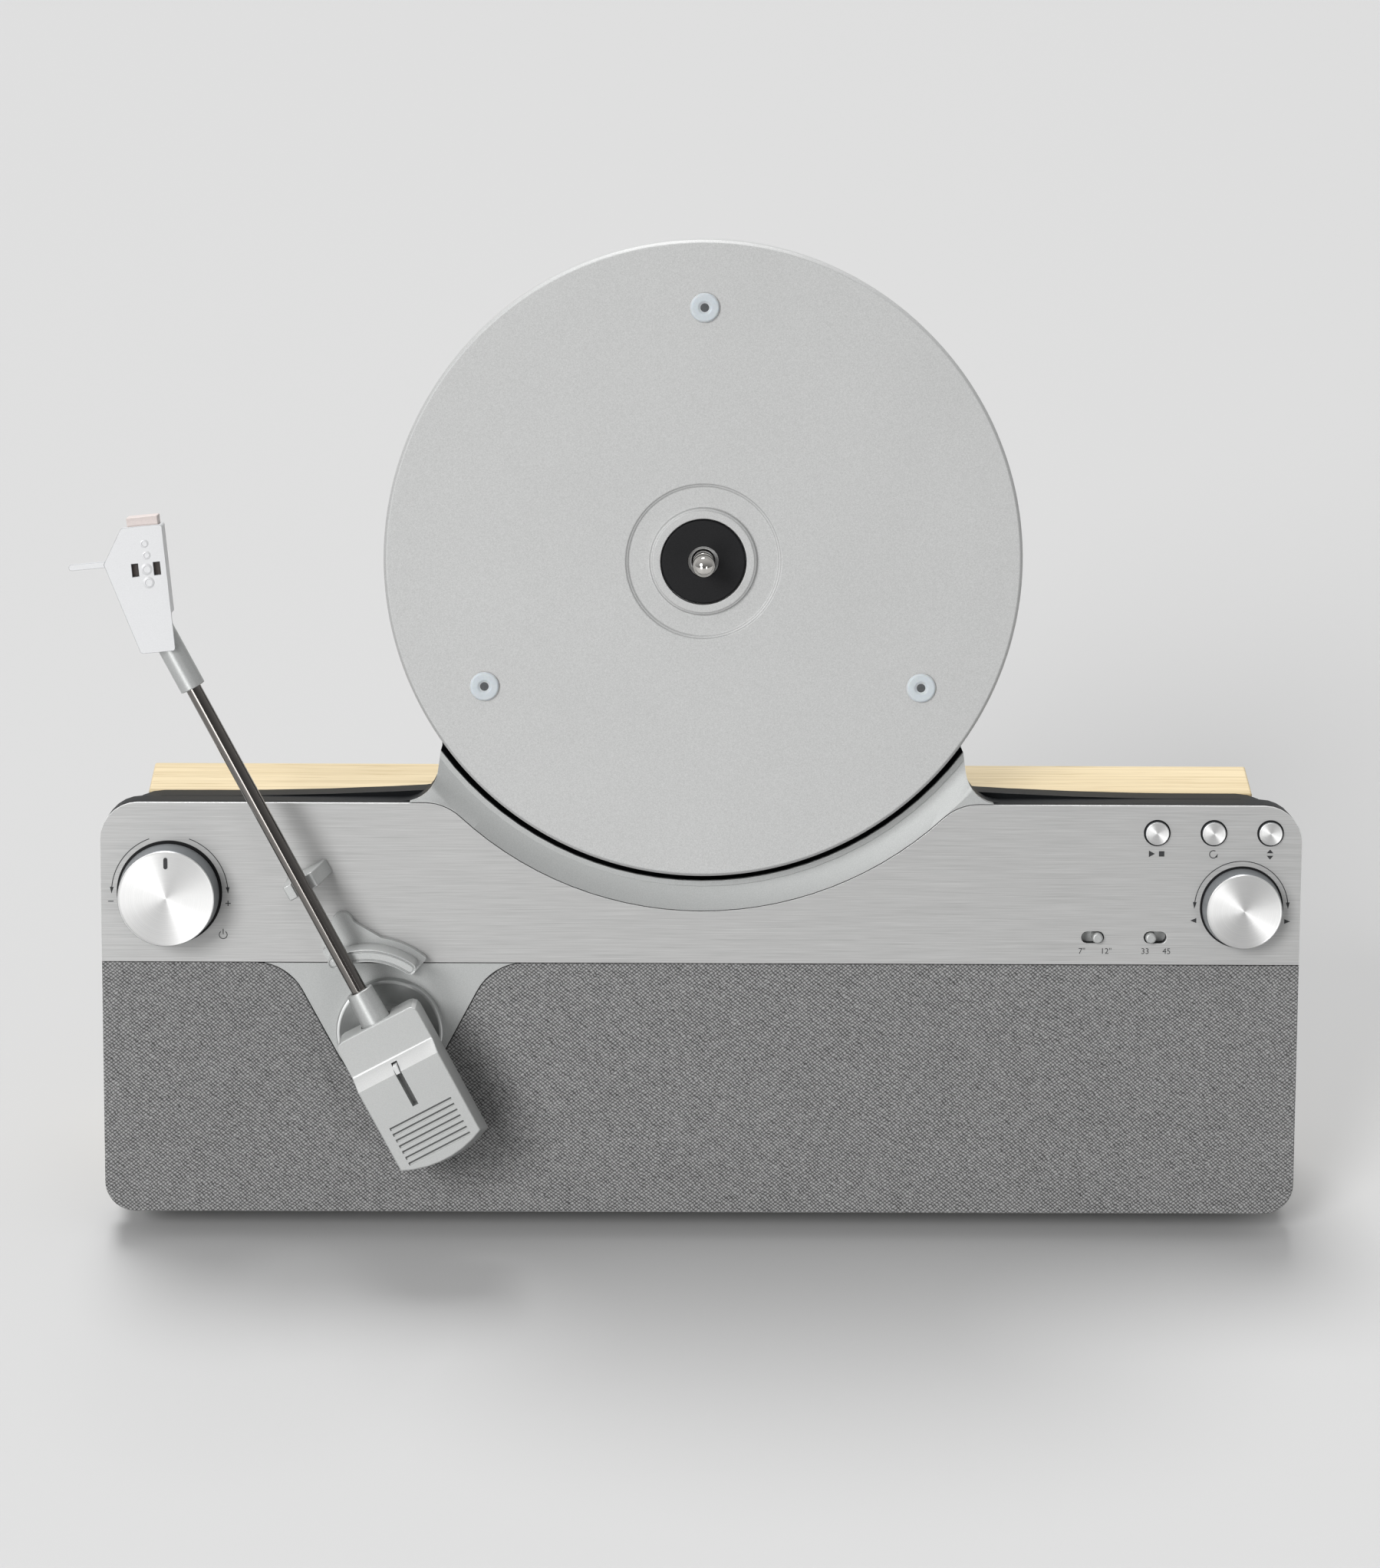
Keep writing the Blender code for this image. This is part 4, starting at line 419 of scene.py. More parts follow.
def clothLook(name, c):
    tree, shader = newLook(name, c)
    place = onMap(tree, "clothMap")
    apart = newNode(tree, "SeparateXYZ", {"Vector": place})
    bends = [(noise(tree, place, scale), moves) for scale, *moves in c["bends"]]
    ways = []
    for number, (axis, size) in enumerate((("X", c["columnWidth"]), ("Y", c["rowHeight"]))):
        way = calc(tree, "MULTIPLY", apart.outputs[axis], 1 / (size * mm))
        for value, moves in bends:
            way = calc(tree, "MULTIPLY_ADD", value, moves[number], way)
        ways.append(way)
    # stitches lie in a slanting lattice: one way counts across plus up, the other across less up
    lattice = [calc(tree, operation, *ways) for operation in ("ADD", "SUBTRACT")]
    # the height of a stitch falls off to its four sides
    halves = [calc(tree, "MULTIPLY", calc(tree, "FRACT", way), math.pi) for way in lattice]
    domes = [calc(tree, "POWER", calc(tree, "SINE", half), c["domePower"]) for half in halves]
    dome = calc(tree, "MULTIPLY", *domes)
    column, row = (calc(tree, "FLOOR", way) for way in lattice)
    cell = newNode(tree, "CombineXYZ", {"X": column, "Y": row}).outputs["Vector"]
    own = newNode(tree, "TexWhiteNoise", {"Vector": cell}, noise_dimensions="2D").outputs["Value"]
    hair = calc(tree, "SUBTRACT", noise(tree, place, c["hair"]), 0.5)
    # the tone follows each stitch's height, lighter at its crown and darker towards its four sides: the
    # knit's own pattern with painted shade between the stitches
    tone = calc(tree, "MULTIPLY_ADD", own, c["ownShare"], calc(tree, "MULTIPLY", dome, c["domeShadeShare"]))
    tone = calc(tree, "MULTIPLY_ADD", hair, c["hairShare"], tone)
    scale, low, high = c["patch"]
    colour = multiply(tree, ramp(tree, tone, c["dark"], c["light"], c["stops"]),
                      ramp(tree, noise(tree, place, scale, 3.0), low, high))
    tree.links.new(colour, shader.inputs["Base Color"])
    bump(tree, shader, dome, *c["bump"])


clothLook("grilleCloth", clothFinish)


# Turned metal: fine rings round the axis, and a sheen that follows them
spunFinishes = {
    "spunMetal": {"colour": (0.76, 0.76, 0.755), "roughness": 0.48, "metallic": 0.85, "rings": 9000.0,
                  "sockets": {"Anisotropic": 0.85, "Anisotropic Rotation": 0.25}, "shares": (0.93, 1.04)},
    "spunDish": {"colour": (0.50, 0.51, 0.505), "roughness": 0.36, "metallic": 0.9, "rings": 6000.0,
                 "sockets": {"Anisotropic": 0.8, "Anisotropic Rotation": 0.25}, "shares": (0.93, 1.04)},
}
ringTurns = 0.6


def spunLook(name, c):
    tree, shader = newLook(name, c)
    rings = stretched(tree, onMap(tree, "turnMap"), (ringTurns, c["rings"], 1))
    tree.links.new(shaded(tree, noise(tree, rings, rough=0.6), c), shader.inputs["Base Color"])
    drawnOut(tree, shader, "turnMap")


for name, recipe in spunFinishes.items():
    spunLook(name, recipe)
print("materials ready")


# Surfaces from numpy
sharpFrom = math.radians(38)
axisWithin = 1e-7  # a radius below this is a point on the axis, in metres


def newPiece(name, points, faces, look, matrix, smooth=True, uv=None, uvName="turnMap"):
    mesh = bpy.data.meshes.new(name)
    mesh.from_pydata(np.asarray(points, dtype=float).tolist(), [], [list(map(int, face)) for face in faces])
    mesh.transform(matrix)
    if uv is not None:
        mesh.uv_layers.new(name=uvName).data.foreach_set("uv", np.asarray(uv, dtype=float).ravel())
    mesh.materials.append(looks[look])
    mesh.update()
    if smooth:
        mesh.shade_smooth()
        mesh.set_sharp_from_angle(angle=sharpFrom)
    return addItem(name, mesh)


def lifted(outline, height):
    return np.column_stack((outline, np.full(len(outline), height)))


def walls(count, layers):
    # the faces between neighbouring outlines of a stack, each outline with the same count of points
    step = np.arange(count)
    after = np.roll(step, -1)
    band = np.column_stack((step, after, after + count, step + count))
    return [face for start in range(layers - 1) for face in (band + start * count).tolist()]


def guarded(profile, near=0.06, least=0.6):
    # adds a point close to both ends of every long run, so that shading stays flat between two corners
    profile = np.asarray(profile, dtype=float)
    result = [profile[0]]
    for before, after in zip(profile, profile[1:]):
        run = after - before
        length = np.hypot(*run)
        if length > least:
            result += [before + run * near / length, after - run * near / length]
        result.append(after)
    return np.array(result)


def turnedPiece(name, profile, look, matrix, steps=128):
    # point(angle, k) = (radius_k cos angle, radius_k sin angle, height_k): a profile turned round the h axis
    radius, height = guarded(profile).T * mm
    angle = np.linspace(0, math.tau, steps, endpoint=False)
    pole = radius < axisWithin
    first = np.empty(len(radius), dtype=int)
    first[~pole] = np.arange(np.sum(~pole)) * steps
    first[pole] = np.sum(~pole) * steps + np.arange(np.sum(pole))
    rings = [np.column_stack((r * np.cos(angle), r * np.sin(angle), np.full(steps, h)))
             for r, h in zip(radius[~pole], height[~pole])]
    points = np.vstack(rings + [(0, 0, h) for h in height[pole]])
    run = np.concatenate(([0], np.cumsum(np.hypot(np.diff(radius), np.diff(height)))))
    step = np.arange(steps)

    def corner(row, side):
        # one corner of each face in a band: its point, and map = (share of the turn, way along the profile)
        point = np.full(steps, first[row]) if pole[row] else first[row] + (step + side) % steps
        return point, (step + (0.5 if pole[row] else side)) / steps, np.full(steps, run[row])

    faces, uv = [], []
    for row in range(len(radius) - 1):
        if pole[row] and pole[row + 1]:
            continue
        corners = [(row, 0), (row + 1, 0), (row + 1, 1), (row, 1)]
        if pole[row]:
            corners.pop()
        elif pole[row + 1]:
            corners = [(row, 1), (row, 0), (row + 1, 0)]
        point, u, v = np.stack([corner(*place) for place in corners], axis=-1)
        faces += point.tolist()
        uv.append(np.stack((u, v), -1).reshape(-1, 2))
    return newPiece(name, points, faces, look, matrix, uv=np.concatenate(uv))


def rounded(profile, radius, points=4, most=0.45):
    # replaces each inner corner by a short quadratic curve between two points set back from it
    profile = [np.array(point, dtype=float) for point in profile]
    result = [profile[0]]
    for before, corner, after in zip(profile, profile[1:], profile[2:]):
        ways = (before - corner, after - corner)
        lengths = [np.hypot(*way) for way in ways]
        back = min(radius, most * min(lengths))
        one, two = (corner + way / length * back for way, length in zip(ways, lengths))
        for t in np.linspace(0, 1, points):
            result.append((1 - t) ** 2 * one + 2 * t * (1 - t) * corner + t ** 2 * two)
    result.append(profile[-1])
    return np.array(result)


def mapFromFace(mesh):
    # map = (way up the slope, way across) of each corner, in metres
    points = np.empty(len(mesh.vertices) * 3)
    mesh.vertices.foreach_get("co", points)
    corners = np.empty(len(mesh.loops), dtype=int)
    mesh.loops.foreach_get("vertex_index", corners)
    onFace = (points.reshape(-1, 3) - np.array(faceOrigin)) @ np.array(faceTurn)
    layer = mesh.uv_layers.new(name="brushMap")
    layer.data.foreach_set("uv", onFace[corners][:, (1, 0)].ravel())


def setLook(mesh, look):
    mesh.materials.clear()
    mesh.materials.append(looks[look])


def paintedLightByFacing(mesh, look, way, low, high):
    # faces whose normal has a share along the given way between two limits take another material, a painted
    # highlight or painted shade for the way they face
    mesh.materials.append(looks[look])
    normals = np.empty(len(mesh.polygons) * 3)
    mesh.polygons.foreach_get("normal", normals)
    share = normals.reshape(-1, 3) @ np.array(way)
    mesh.polygons.foreach_set("material_index", ((share > low) & (share < high)).astype(np.int32))


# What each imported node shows: finish, and the width of its rounded edges in mm (0 keeps the node itself)
nodeFinish = {
    "lightOak": {"cabinet_shell": 0.8},
    "satinBlack": {"back_panel": 0.3, "power_inlet": 0.2, "front_frame": 0.6, "rear_chassis": 0.6,
                   "rear_housing": 1.2, "panel_carrier": 0},
    "footRubber": {"foot_front_left": 0.4, "foot_front_right": 0.4, "foot_rear_left": 0.4,
                   "foot_rear_right": 0.4, "drive_belt": 0},
    "plainSteel": {"line_out_jacks": 0.2, "counterweight": 0.3, "speaker_basket_left": 0,
                   "speaker_basket_right": 0, "bearing_housing": 0, "motor": 0, "swing_bearing": 0,
                   "tilt_axle": 0, "volume_encoder": 0, "jog_encoder": 0, "volume_shaft": 0},
    "silverPaint": {"arm_rest": 0.4, "lift_plate": 0.3, "lift_rail": 0.6, "arm_turret": 0.3,
                    "arm_carriage": 0.3, "size_switch": 0.12, "speed_switch": 0.12},
    "brushedPanel": {"front_panel": 0.28},
    "surroundSilver": {"platter_surround": 0.25, "arm_mount_plate": 0.15},
    "armCapSilver": {"arm_block": 0.35},
    "sliderSilver": {"force_slider": 0.15},
    "headshellSilver": {"headshell": 0.25},
    "cartridgePale": {"cartridge": 0.25},
    "hubBlackAndGapShade": {"hub_disc": 0.15},
    "stylusRed": {"stylus": 0},
    "pulleyPlastic": {"motor_pulley": 0},
    "paintedFibreboard": {"grille_board": 0},
    "conePaper": {"speaker_cone_left": 0, "speaker_cone_right": 0},
    "boardGreen": {"main_board": 0, "control_board": 0},
}
softening = {
    "sharpAngle": math.radians(30), "mergeWithin": 1e-6, "flatWithin": math.radians(0.6), "segments": 2,
    "rims": {"lift_rail": (0.35, 0.2, 0.35)},  # inset, width and depth of a raised line
    "outers": {"arm_block": (tiltMatrix, (-12.4, -39.5), (12.4, 4.5), -6.0)},  # box and level of markOuter
    "uprights": {"headshell": (headMatrix, ((5.5, 0), (-5.5, 0), (-7.4, 40.8), (5.5, 40.8)))},
    "uprightWidth": 0.8, "uprightSegments": 4,
    # the rounded edges of these nodes take another material: painted highlight on the panel's and surround's
    # edges, painted shade on the headshell's
    "edgePaintedLightAndShade": {"front_panel": "edgePaintedHighlight", "platter_surround": "edgePaintedHighlight",
                 "headshell": "sidePaintedShade"},
    "stepHighlightShares": (0.55, 0.85),
}
nodeBody = {member: body for body, members in frame["record"]["behaviour"]["bodies"].items()
            for member in members}


def raiseRim(solid, inset, width, depth):
    # leaves a raised line round the highest flat face: the face inside it goes down by the rim's depth
    flat = [face for face in solid.faces if face.normal.dot(faceOut) > 0.999]
    top = max(face.calc_center_median().dot(faceOut) for face in flat)
    high = [face for face in flat if face.calc_center_median().dot(faceOut) > top - 0.05 * mm]
    bmesh.ops.inset_region(solid, faces=high, thickness=inset * mm)
    for way in (-1, 0, 1):
        bmesh.ops.inset_region(solid, faces=high, thickness=width * mm, depth=way * depth * mm)


def markEdges(solid, matrix, chosen):
    # the edges for which a test holds get their own rounding; the test sees the edge and its two ends
    back = matrix.inverted()
    weight = solid.edges.layers.float.new("bevel_weight_edge")
    for edge in solid.edges:
        edge[weight] = float(chosen(edge, [back @ vert.co / mm for vert in edge.verts]))


def markOuter(solid, matrix, low, high, level):
    # the sharp edges that lie wholly outside a box of x and y, and above a level
    def outer(edge, ends):
        sharp = len(edge.link_faces) == 2 and edge.calc_face_angle(0) >= softening["sharpAngle"]
        return sharp and all(end.z > level and not (low[0] < end.x < high[0] and low[1] < end.y < high[1])
                             for end in ends)
    markEdges(solid, matrix, outer)


def markUpright(solid, matrix, spots, least=1.2, near=0.3):
    # the edges square to the front that stand at one of the given spots
    def upright(edge, ends):
        way = edge.verts[1].co - edge.verts[0].co
        return (way.length > least * mm and abs(way.normalized().dot(faceOut)) > 0.99
                and any(math.hypot(ends[0].x - x, ends[0].y - y) < near for x, y in spots))
    markEdges(solid, matrix, upright)


def softened(node, width, look, c):
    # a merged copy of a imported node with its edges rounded
    solid = bmesh.new()
    solid.from_mesh(frame["nodes"][node].data)
    bmesh.ops.remove_doubles(solid, verts=solid.verts, dist=c["mergeWithin"])
    bmesh.ops.dissolve_limit(solid, angle_limit=c["flatWithin"], verts=solid.verts, edges=solid.edges)
    for change, marked in ((raiseRim, c["rims"]), (markOuter, c["outers"]), (markUpright, c["uprights"])):
        if node in marked:
            change(solid, *marked[node])
    mesh = bpy.data.meshes.new(node + "Finished")
    solid.to_mesh(mesh)
    solid.free()
    if "custom_normal" in mesh.attributes:
        mesh.attributes.remove(mesh.attributes["custom_normal"])
    setLook(mesh, look)
    if look == "brushedPanel":
        mapFromFace(mesh)
    if node == "arm_block":
        # the step between the cover's two levels slants by about 45 degrees and is painted lighter, a
        # painted highlight for the light from above
        paintedLightByFacing(mesh, "stepPaintedHighlight", tiltMatrix.to_3x3().col[1], *c["stepHighlightShares"])
    item = addItem(mesh.name, mesh)
    mesh.shade_smooth()
    mesh.set_sharp_from_angle(angle=c["sharpAngle"])
    if node in c["uprights"]:
        corner = item.modifiers.new("roundedCorners", "BEVEL")
        corner.width, corner.segments = c["uprightWidth"] * mm, c["uprightSegments"]
        corner.limit_method = "WEIGHT"
        corner.use_clamp_overlap = False
    change = item.modifiers.new("roundedEdges", "BEVEL")
    change.width, change.segments = width * mm, c["segments"]
    change.limit_method = "WEIGHT" if node in c["outers"] else "ANGLE"
    change.angle_limit = c["sharpAngle"]
    # the rounded edges get painted highlight or painted shade
    if node in c["edgePaintedLightAndShade"]:
        mesh.materials.append(looks[c["edgePaintedLightAndShade"][node]])
        change.material = 1
    item.modifiers.new("flatFaces", "WEIGHTED_NORMAL").keep_sharp = True
    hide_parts(node)
    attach(item, nodeBody[node])


for look, widths in nodeFinish.items():
    for node, width in widths.items():
        if width:
            softened(node, width, look, softening)
        else:
            setLook(frame["nodes"][node].data, look)
print("packed nodes dressed")


# Platter: rim, bevelled face, recessed ring with a double step, raised hub ring
platter = {
    "radius": 103.6, "face": 6.6, "bevel": 0.9, "rimDepth": 14.0, "rimWall": 4.0, "plate": 4.0,
    "recess": 25.3, "recessDepth": 1.0, "step": 0.55, "hubRing": 17.6, "hubRise": 0.8, "hubSeat": 14.0,
    "hubFloor": 4.6, "bore": 3.9, "drive": 45.0, "driveWall": 3.5, "driveDepth": 11.6, "boss": 9.0,
    "bossDepth": 5.6, "rounding": 0.22,
}


def makePlatter(c):
    face, floor, top = c["face"], c["face"] - c["recessDepth"], c["face"] + c["hubRise"]
    back, rim = c["face"] - c["plate"], c["face"] - c["rimDepth"]
    radius, drive, ring, recess, step = (c[key] for key in ("radius", "drive", "hubRing", "recess", "step"))
    wall, inner = radius - c["rimWall"], drive - c["driveWall"]
    driveEnd, bossEnd = back - c["driveDepth"], back - c["bossDepth"]
    outline = [
        (c["bore"], c["hubFloor"]), (c["hubSeat"], c["hubFloor"]), (c["hubSeat"], top),
        (ring - 2 * step, top), (ring - 1.5 * step, top - 0.35), (ring - 0.7 * step, top - 0.45),
        (ring, floor), (recess - 2 * step, floor), (recess - 1.3 * step, floor + 0.45),
        (recess - 0.6 * step, floor + 0.5),
        (recess, face), (radius - c["bevel"], face), (radius, face - c["bevel"]), (radius, rim), (wall, rim),
        (wall, back), (drive, back), (drive, driveEnd), (inner, driveEnd), (inner, back),
        (c["boss"], back), (c["boss"], bossEnd), (c["bore"], bossEnd), (c["bore"], c["hubFloor"]),
    ]
    outline = rounded(outline, c["rounding"], 3)
    piece = turnedPiece("platterDisc", outline, "sandedPlatter", platterMatrix, 256)
    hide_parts("platter")
    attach(piece, "platter")


makePlatter(platter)


# Record pads: a soft ring with a dimple, and the dark end of its stem showing in the middle
recordPad = {
    "count": 3, "circle": 82.0, "radius": 4.8, "low": 6.9, "high": 7.8, "dimple": 1.7, "dimpleFloor": 7.2,
    "stem": 1.9, "stemEnd": 3.0, "eye": 1.4, "rounding": 0.3,
}


def makePads(c):
    radius, low, high, floor, eye = (c[key] for key in ("radius", "low", "high", "dimpleFloor", "eye"))
    outline = rounded([(0, floor), (c["dimple"] - 0.2, floor), (c["dimple"] + 0.5, high),
                       (radius - 0.5, high), (radius, low + 0.3), (radius, low), (c["stem"], low),
                       (c["stem"], c["stemEnd"]), (0, c["stemEnd"])], c["rounding"])
    eyeOutline = [(0, floor + 0.06), (eye, floor + 0.06), (eye + 0.05, floor - 0.05)]
    for number in range(c["count"]):
        angle = math.pi / 2 + number * math.tau / c["count"]
        way = Vector((math.cos(angle), math.sin(angle), 0))
        spot = platterMatrix @ Matrix.Translation(c["circle"] * mm * way)
        pad = turnedPiece("recordPad%d" % (number + 1), outline, "padSilicone", spot, 48)
        dot = turnedPiece("padEye%d" % (number + 1), eyeOutline, "padEyeGrey", spot, 32)
        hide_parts("platter_pad_%d" % (number + 1))
        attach(pad, "platter")
        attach(dot, "platter")


makePads(recordPad)


# Spindle: polished shaft with a waist and a ball
spindle = {
    "radius": 3.6, "depth": 36.0, "ball": 3.7, "tip": 23.35, "ballEnd": math.radians(-50),
    "waist": 2.4, "waistLength": 2.2, "rounding": 0.4,
}


def arcPoints(cx, cy, radius, start, end, count):
    angle = np.linspace(start, end, count)
    return np.column_stack((cx + radius * np.cos(angle), cy + radius * np.sin(angle)))


def makeSpindle(c):
    radius, depth, length = c["radius"], c["depth"], c["waistLength"]
    centre = c["tip"] - c["ball"]
    neck = centre - c["ball"]
    ball = arcPoints(0, centre, c["ball"], math.pi / 2, c["ballEnd"], 22)
    ball[0, 0] = 0
    shaft = rounded([tuple(ball[-1]), (c["waist"], neck), (c["waist"], neck - length),
                     (radius - 0.1, neck - 1.35 * length), (radius, neck - 1.7 * length),
                     (radius, -depth), (0, -depth)], c["rounding"])
    piece = turnedPiece("spindlePolished", np.vstack((ball, shaft[1:])), "polishedChrome", platterMatrix, 64)
    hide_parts("spindle")
    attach(piece, "platter")


makeSpindle(spindle)


# Knobs and buttons: turned metal caps; the pointer has a width, a length and a distance from the knob's edge
volumeKnob = {
    "spot": (-174.9, 107.7), "radius": 15.9, "flare": 0.6, "foot": 1.5, "top": 11.9, "crown": 0.25,
    "bore": 3.3, "boreRoof": 9.3, "pointer": (1.3, 3.8, 2.3), "pointerRise": 0.02, "pointerDepth": 0.3,
}
trackKnob = {
    "spot": (178.0, 103.9), "radius": 12.5, "flare": 0.6, "foot": 0.6, "top": 8.4, "crown": 0.25,
    "stem": 3.0, "depth": 8.0,
}
pushButton = {
    "across": (149.7, 168.35, 187.0), "up": 128.65, "radius": 3.85, "top": 1.6, "behind": -4.4,
    "flange": 4.9, "flangeThick": 1.2, "stem": 1.925, "depth": 7.6,
}
buttonNames = ("start", "repeat", "cueing")
# faces of the caps whose normal has a share along the front's normal within these limits, their sides and
# undersides, get painted shade
shadedSideShares = (-2, 0.4)  # shares along the front's normal of a face that counts as a knob's side


def faceSpot(spot):
    return faceMatrix @ Matrix.Translation((spot[0] * mm, spot[1] * mm, 0))


def knobFace(c):
    radius, top, foot = c["radius"], c["top"], c["foot"]
    edge, skirt = radius - 0.75, radius + c["flare"]
    return [(0, top - c["crown"]), (edge * 0.5, top - c["crown"] * 0.9), (edge, top - 0.12),
            (edge + 0.3, top), (radius - 0.15, top - 0.25), (radius, top - 0.6),
            (skirt, foot + 0.3), (skirt - 0.25, foot)]


def makeCap(name, outline, spot, steps, node):
    piece = turnedPiece(name, outline, "spunMetal", faceSpot(spot), steps)
    # the cap's sides are painted darker, painted shade
    paintedLightByFacing(piece.data, "sidePaintedShade", faceOut, *shadedSideShares)
    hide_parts(node)
    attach(piece, node)


def makePointer(c):
    # a dark slot with rounded ends, let into the face near its rim
    width, length, edge = c["pointer"]
    half, high, level = width / 2, c["radius"] - edge, c["top"] + c["pointerRise"]
    ring = np.vstack((arcPoints(0, high - half, half, 0, math.pi, 9),
                      arcPoints(0, high - length + half, half, math.pi, math.tau, 9)))
    count = len(ring)
    points = np.vstack((lifted(ring, level - c["pointerDepth"]), lifted(ring, level))) * mm
    faces = walls(count, 2) + [range(count, 2 * count), range(count)[::-1]]
    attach(newPiece("volumePointer", points, faces, "printBlack", faceSpot(c["spot"])), "volume_knob")


def makeKnobs():
    c = volumeKnob
    outline = knobFace(c) + [(c["bore"], c["foot"]), (c["bore"], c["boreRoof"]), (0, c["boreRoof"])]
    makeCap("volumeKnobSpun", outline, c["spot"], 160, "volume_knob")
    makePointer(c)
    c = trackKnob
    outline = knobFace(c) + [(c["stem"], c["foot"]), (c["stem"], -c["depth"]), (0, -c["depth"])]
    makeCap("trackKnobSpun", outline, c["spot"], 160, "jog_knob")
    c = pushButton
    radius, top, flange, stem, behind = (c[key] for key in ("radius", "top", "flange", "stem", "behind"))
    under = behind - c["flangeThick"]
    outline = [(0, top - 0.1), (radius - 0.6, top - 0.08), (radius - 0.35, top), (radius - 0.1, top - 0.12),
               (radius, top - 0.4), (radius, behind), (flange, behind), (flange, under), (stem, under),
               (stem, -c["depth"]), (0, -c["depth"])]
    for name, x in zip(buttonNames, c["across"]):
        makeCap(name + "ButtonSpun", outline, (x, c["up"]), 64, name + "_button")


makeKnobs()


# Painted shade in the gaps round the knobs and buttons: thin black turned rings just proud of the brushed
# face
gapShade = {"low": 0.005, "level": 0.04, "volume": (15.0, 17.3), "track": (11.8, 13.7), "button": (3.9, 4.35)}


def makeGapShade(c):
    rings = [("volumeGapShade", volumeKnob["spot"], c["volume"]), ("trackGapShade", trackKnob["spot"], c["track"])]
    rings += [(name + "GapShade", (x, pushButton["up"]), c["button"])
              for name, x in zip(buttonNames, pushButton["across"])]
    for name, spot, (inner, outer) in rings:
        outline = [(inner, c["low"]), (inner, c["level"]), (outer, c["level"]), (outer + 0.04, c["low"])]
        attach(turnedPiece(name, outline, "hubBlackAndGapShade", faceSpot(spot), 96), "cabinet")


makeGapShade(gapShade)


# Arm: chromed tube, collar and sleeve, turned along the arm
alongArm = tiltMatrix @ Matrix.Rotation(-math.pi / 2, 4, "X")
armTube = {"outer": 2.55, "inner": 2.0, "from": 11.4, "to": 144.7}
armCollar = {"from": 6.1, "to": 19.1, "root": 5.05, "tip": 4.45, "bore": 2.85, "blind": 5.0}
armSleeve = {"from": 131.8, "length": 23.0, "radius": 4.2, "bore": 2.85, "boreDepth": 13.2}
armRounding = 0.3


def makeArm():
    c = armTube
    inner, outer, low, high = c["inner"], c["outer"], c["from"], c["to"]
    tube = [(inner, high), (outer - 0.1, high), (outer, high - 0.1), (outer, low), (inner, low),
            (inner, high)]
    c = armCollar
    end = c["from"] + c["blind"]
    collar = rounded([(0, end), (c["bore"], end), (c["bore"], c["to"]), (c["tip"], c["to"]),
                      (c["root"], c["from"]), (0, c["from"])], armRounding)
    c = armSleeve
    low, high, radius, bore = c["from"], c["from"] + c["length"], c["radius"], c["bore"]
    end = low + c["boreDepth"]
    sleeve = rounded([(0, high), (radius, high), (radius, low), (bore, low), (bore, end), (0, end)],
                     armRounding)
    for name, outline, look, node in (("armTubeChromed", tube, "tubeChrome", "arm_tube"),
                                      ("armCollarTurned", collar, "silverPaint", "arm_collar"),
                                      ("armSleeveTurned", sleeve, "silverPaint", "arm_sleeve")):
        piece = turnedPiece(name, outline, look, alongArm, 64)
        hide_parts(node)
        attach(piece, "tonearm")


makeArm()


# Ring under the arm: a turned dish
armRing = {"bore": 5.0, "floor": 1.5, "slope": 9.2, "rim": 16.4, "high": 4.2, "radius": 17.6, "foot": 0.3}


def makeArmRing(c):
    bore, floor, high, radius, foot = (c[key] for key in ("bore", "floor", "high", "radius", "foot"))
    outline = rounded([(bore, floor), (c["slope"], floor), (c["rim"], high), (radius - 0.35, high),
                       (radius, high - 0.35), (radius, foot), (bore, foot), (bore, floor)], 0.15, 3)
    piece = turnedPiece("armRingTurned", outline, "spunDish", faceMatrix @ Matrix.Translation(armSpot), 128)
    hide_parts("arm_base_ring")
    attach(piece, nodeBody["arm_base_ring"])


makeArmRing(armRing)


# Headshell: four round marks pressed into its top, and dark strips in its two slots, painted shade where the
# cartridge below would show through
headMarks = {
    "top": 6.1, "height": 0.26,
    "spots": ((-0.6, 35.2, 0.95), (-0.3, 31.4, 0.95), (-0.7, 26.9, 1.3), (-0.5, 22.6, 1.3)),
    "slotDepth": 0.9, "slotDip": 0.25, "apart": 3.5, "shift": 0.9, "width": 2.2, "length": 4.2, "rise": 26.9,
    "play": 0.02, "cells": (8, 4),
}


def makeHeadMarks(c):
    top, height = c["top"], c["height"]
    pieces = []
    for number, (x, y, radius) in enumerate(c["spots"]):
        outline = [(0, top + 0.03), (radius * 0.8, top + 0.03), (radius * 0.9, top + height),
                   (radius, top + height), (radius * 1.5, top - 0.02)]
        place = headMatrix @ Matrix.Translation((x * mm, y * mm, 0))
        pieces.append(turnedPiece("headMark%d" % (number + 1), outline, "headshellSilver", place, 32))
    wide, long = c["cells"]
    halfWidth, halfLength = c["width"] / 2 - c["play"], c["length"] / 2 - c["play"]
    # a shallow trough: x and y run over a grid, and the floor dips towards the middle of its width
    grid = np.meshgrid(np.linspace(-1, 1, wide + 1), np.linspace(-1, 1, long + 1))
    across, along = (share.ravel() for share in grid)
    level = top - c["slotDepth"] - c["slotDip"] * np.cos(np.pi / 2 * across)
    cell = np.arange(wide) + (wide + 1) * np.arange(long)[:, None]
    faces = np.stack((cell, cell + 1, cell + wide + 2, cell + wide + 1), -1).reshape(-1, 4)
    for side, name in ((-1, "headSlotShadeLeft"), (1, "headSlotShadeRight")):
        middle = -c["shift"] + side * c["apart"]
        points = np.column_stack((middle + halfWidth * across, c["rise"] + halfLength * along, level)) * mm
        pieces.append(newPiece(name, points, faces, "slotPaintedShade", headMatrix))
    for piece in pieces:
        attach(piece, "tonearm")


makeHeadMarks(headMarks)


# Arm cover: painted shade on the floors of its seven grooves, a dark strip in each, shifted a little to one
# side
grooveShade = {
    "first": 24.4, "spacing": 2.16, "count": 7, "halfLength": 11.2, "width": 0.62, "shift": 0.14,
    "level": 11.03, "cells": 4,
}


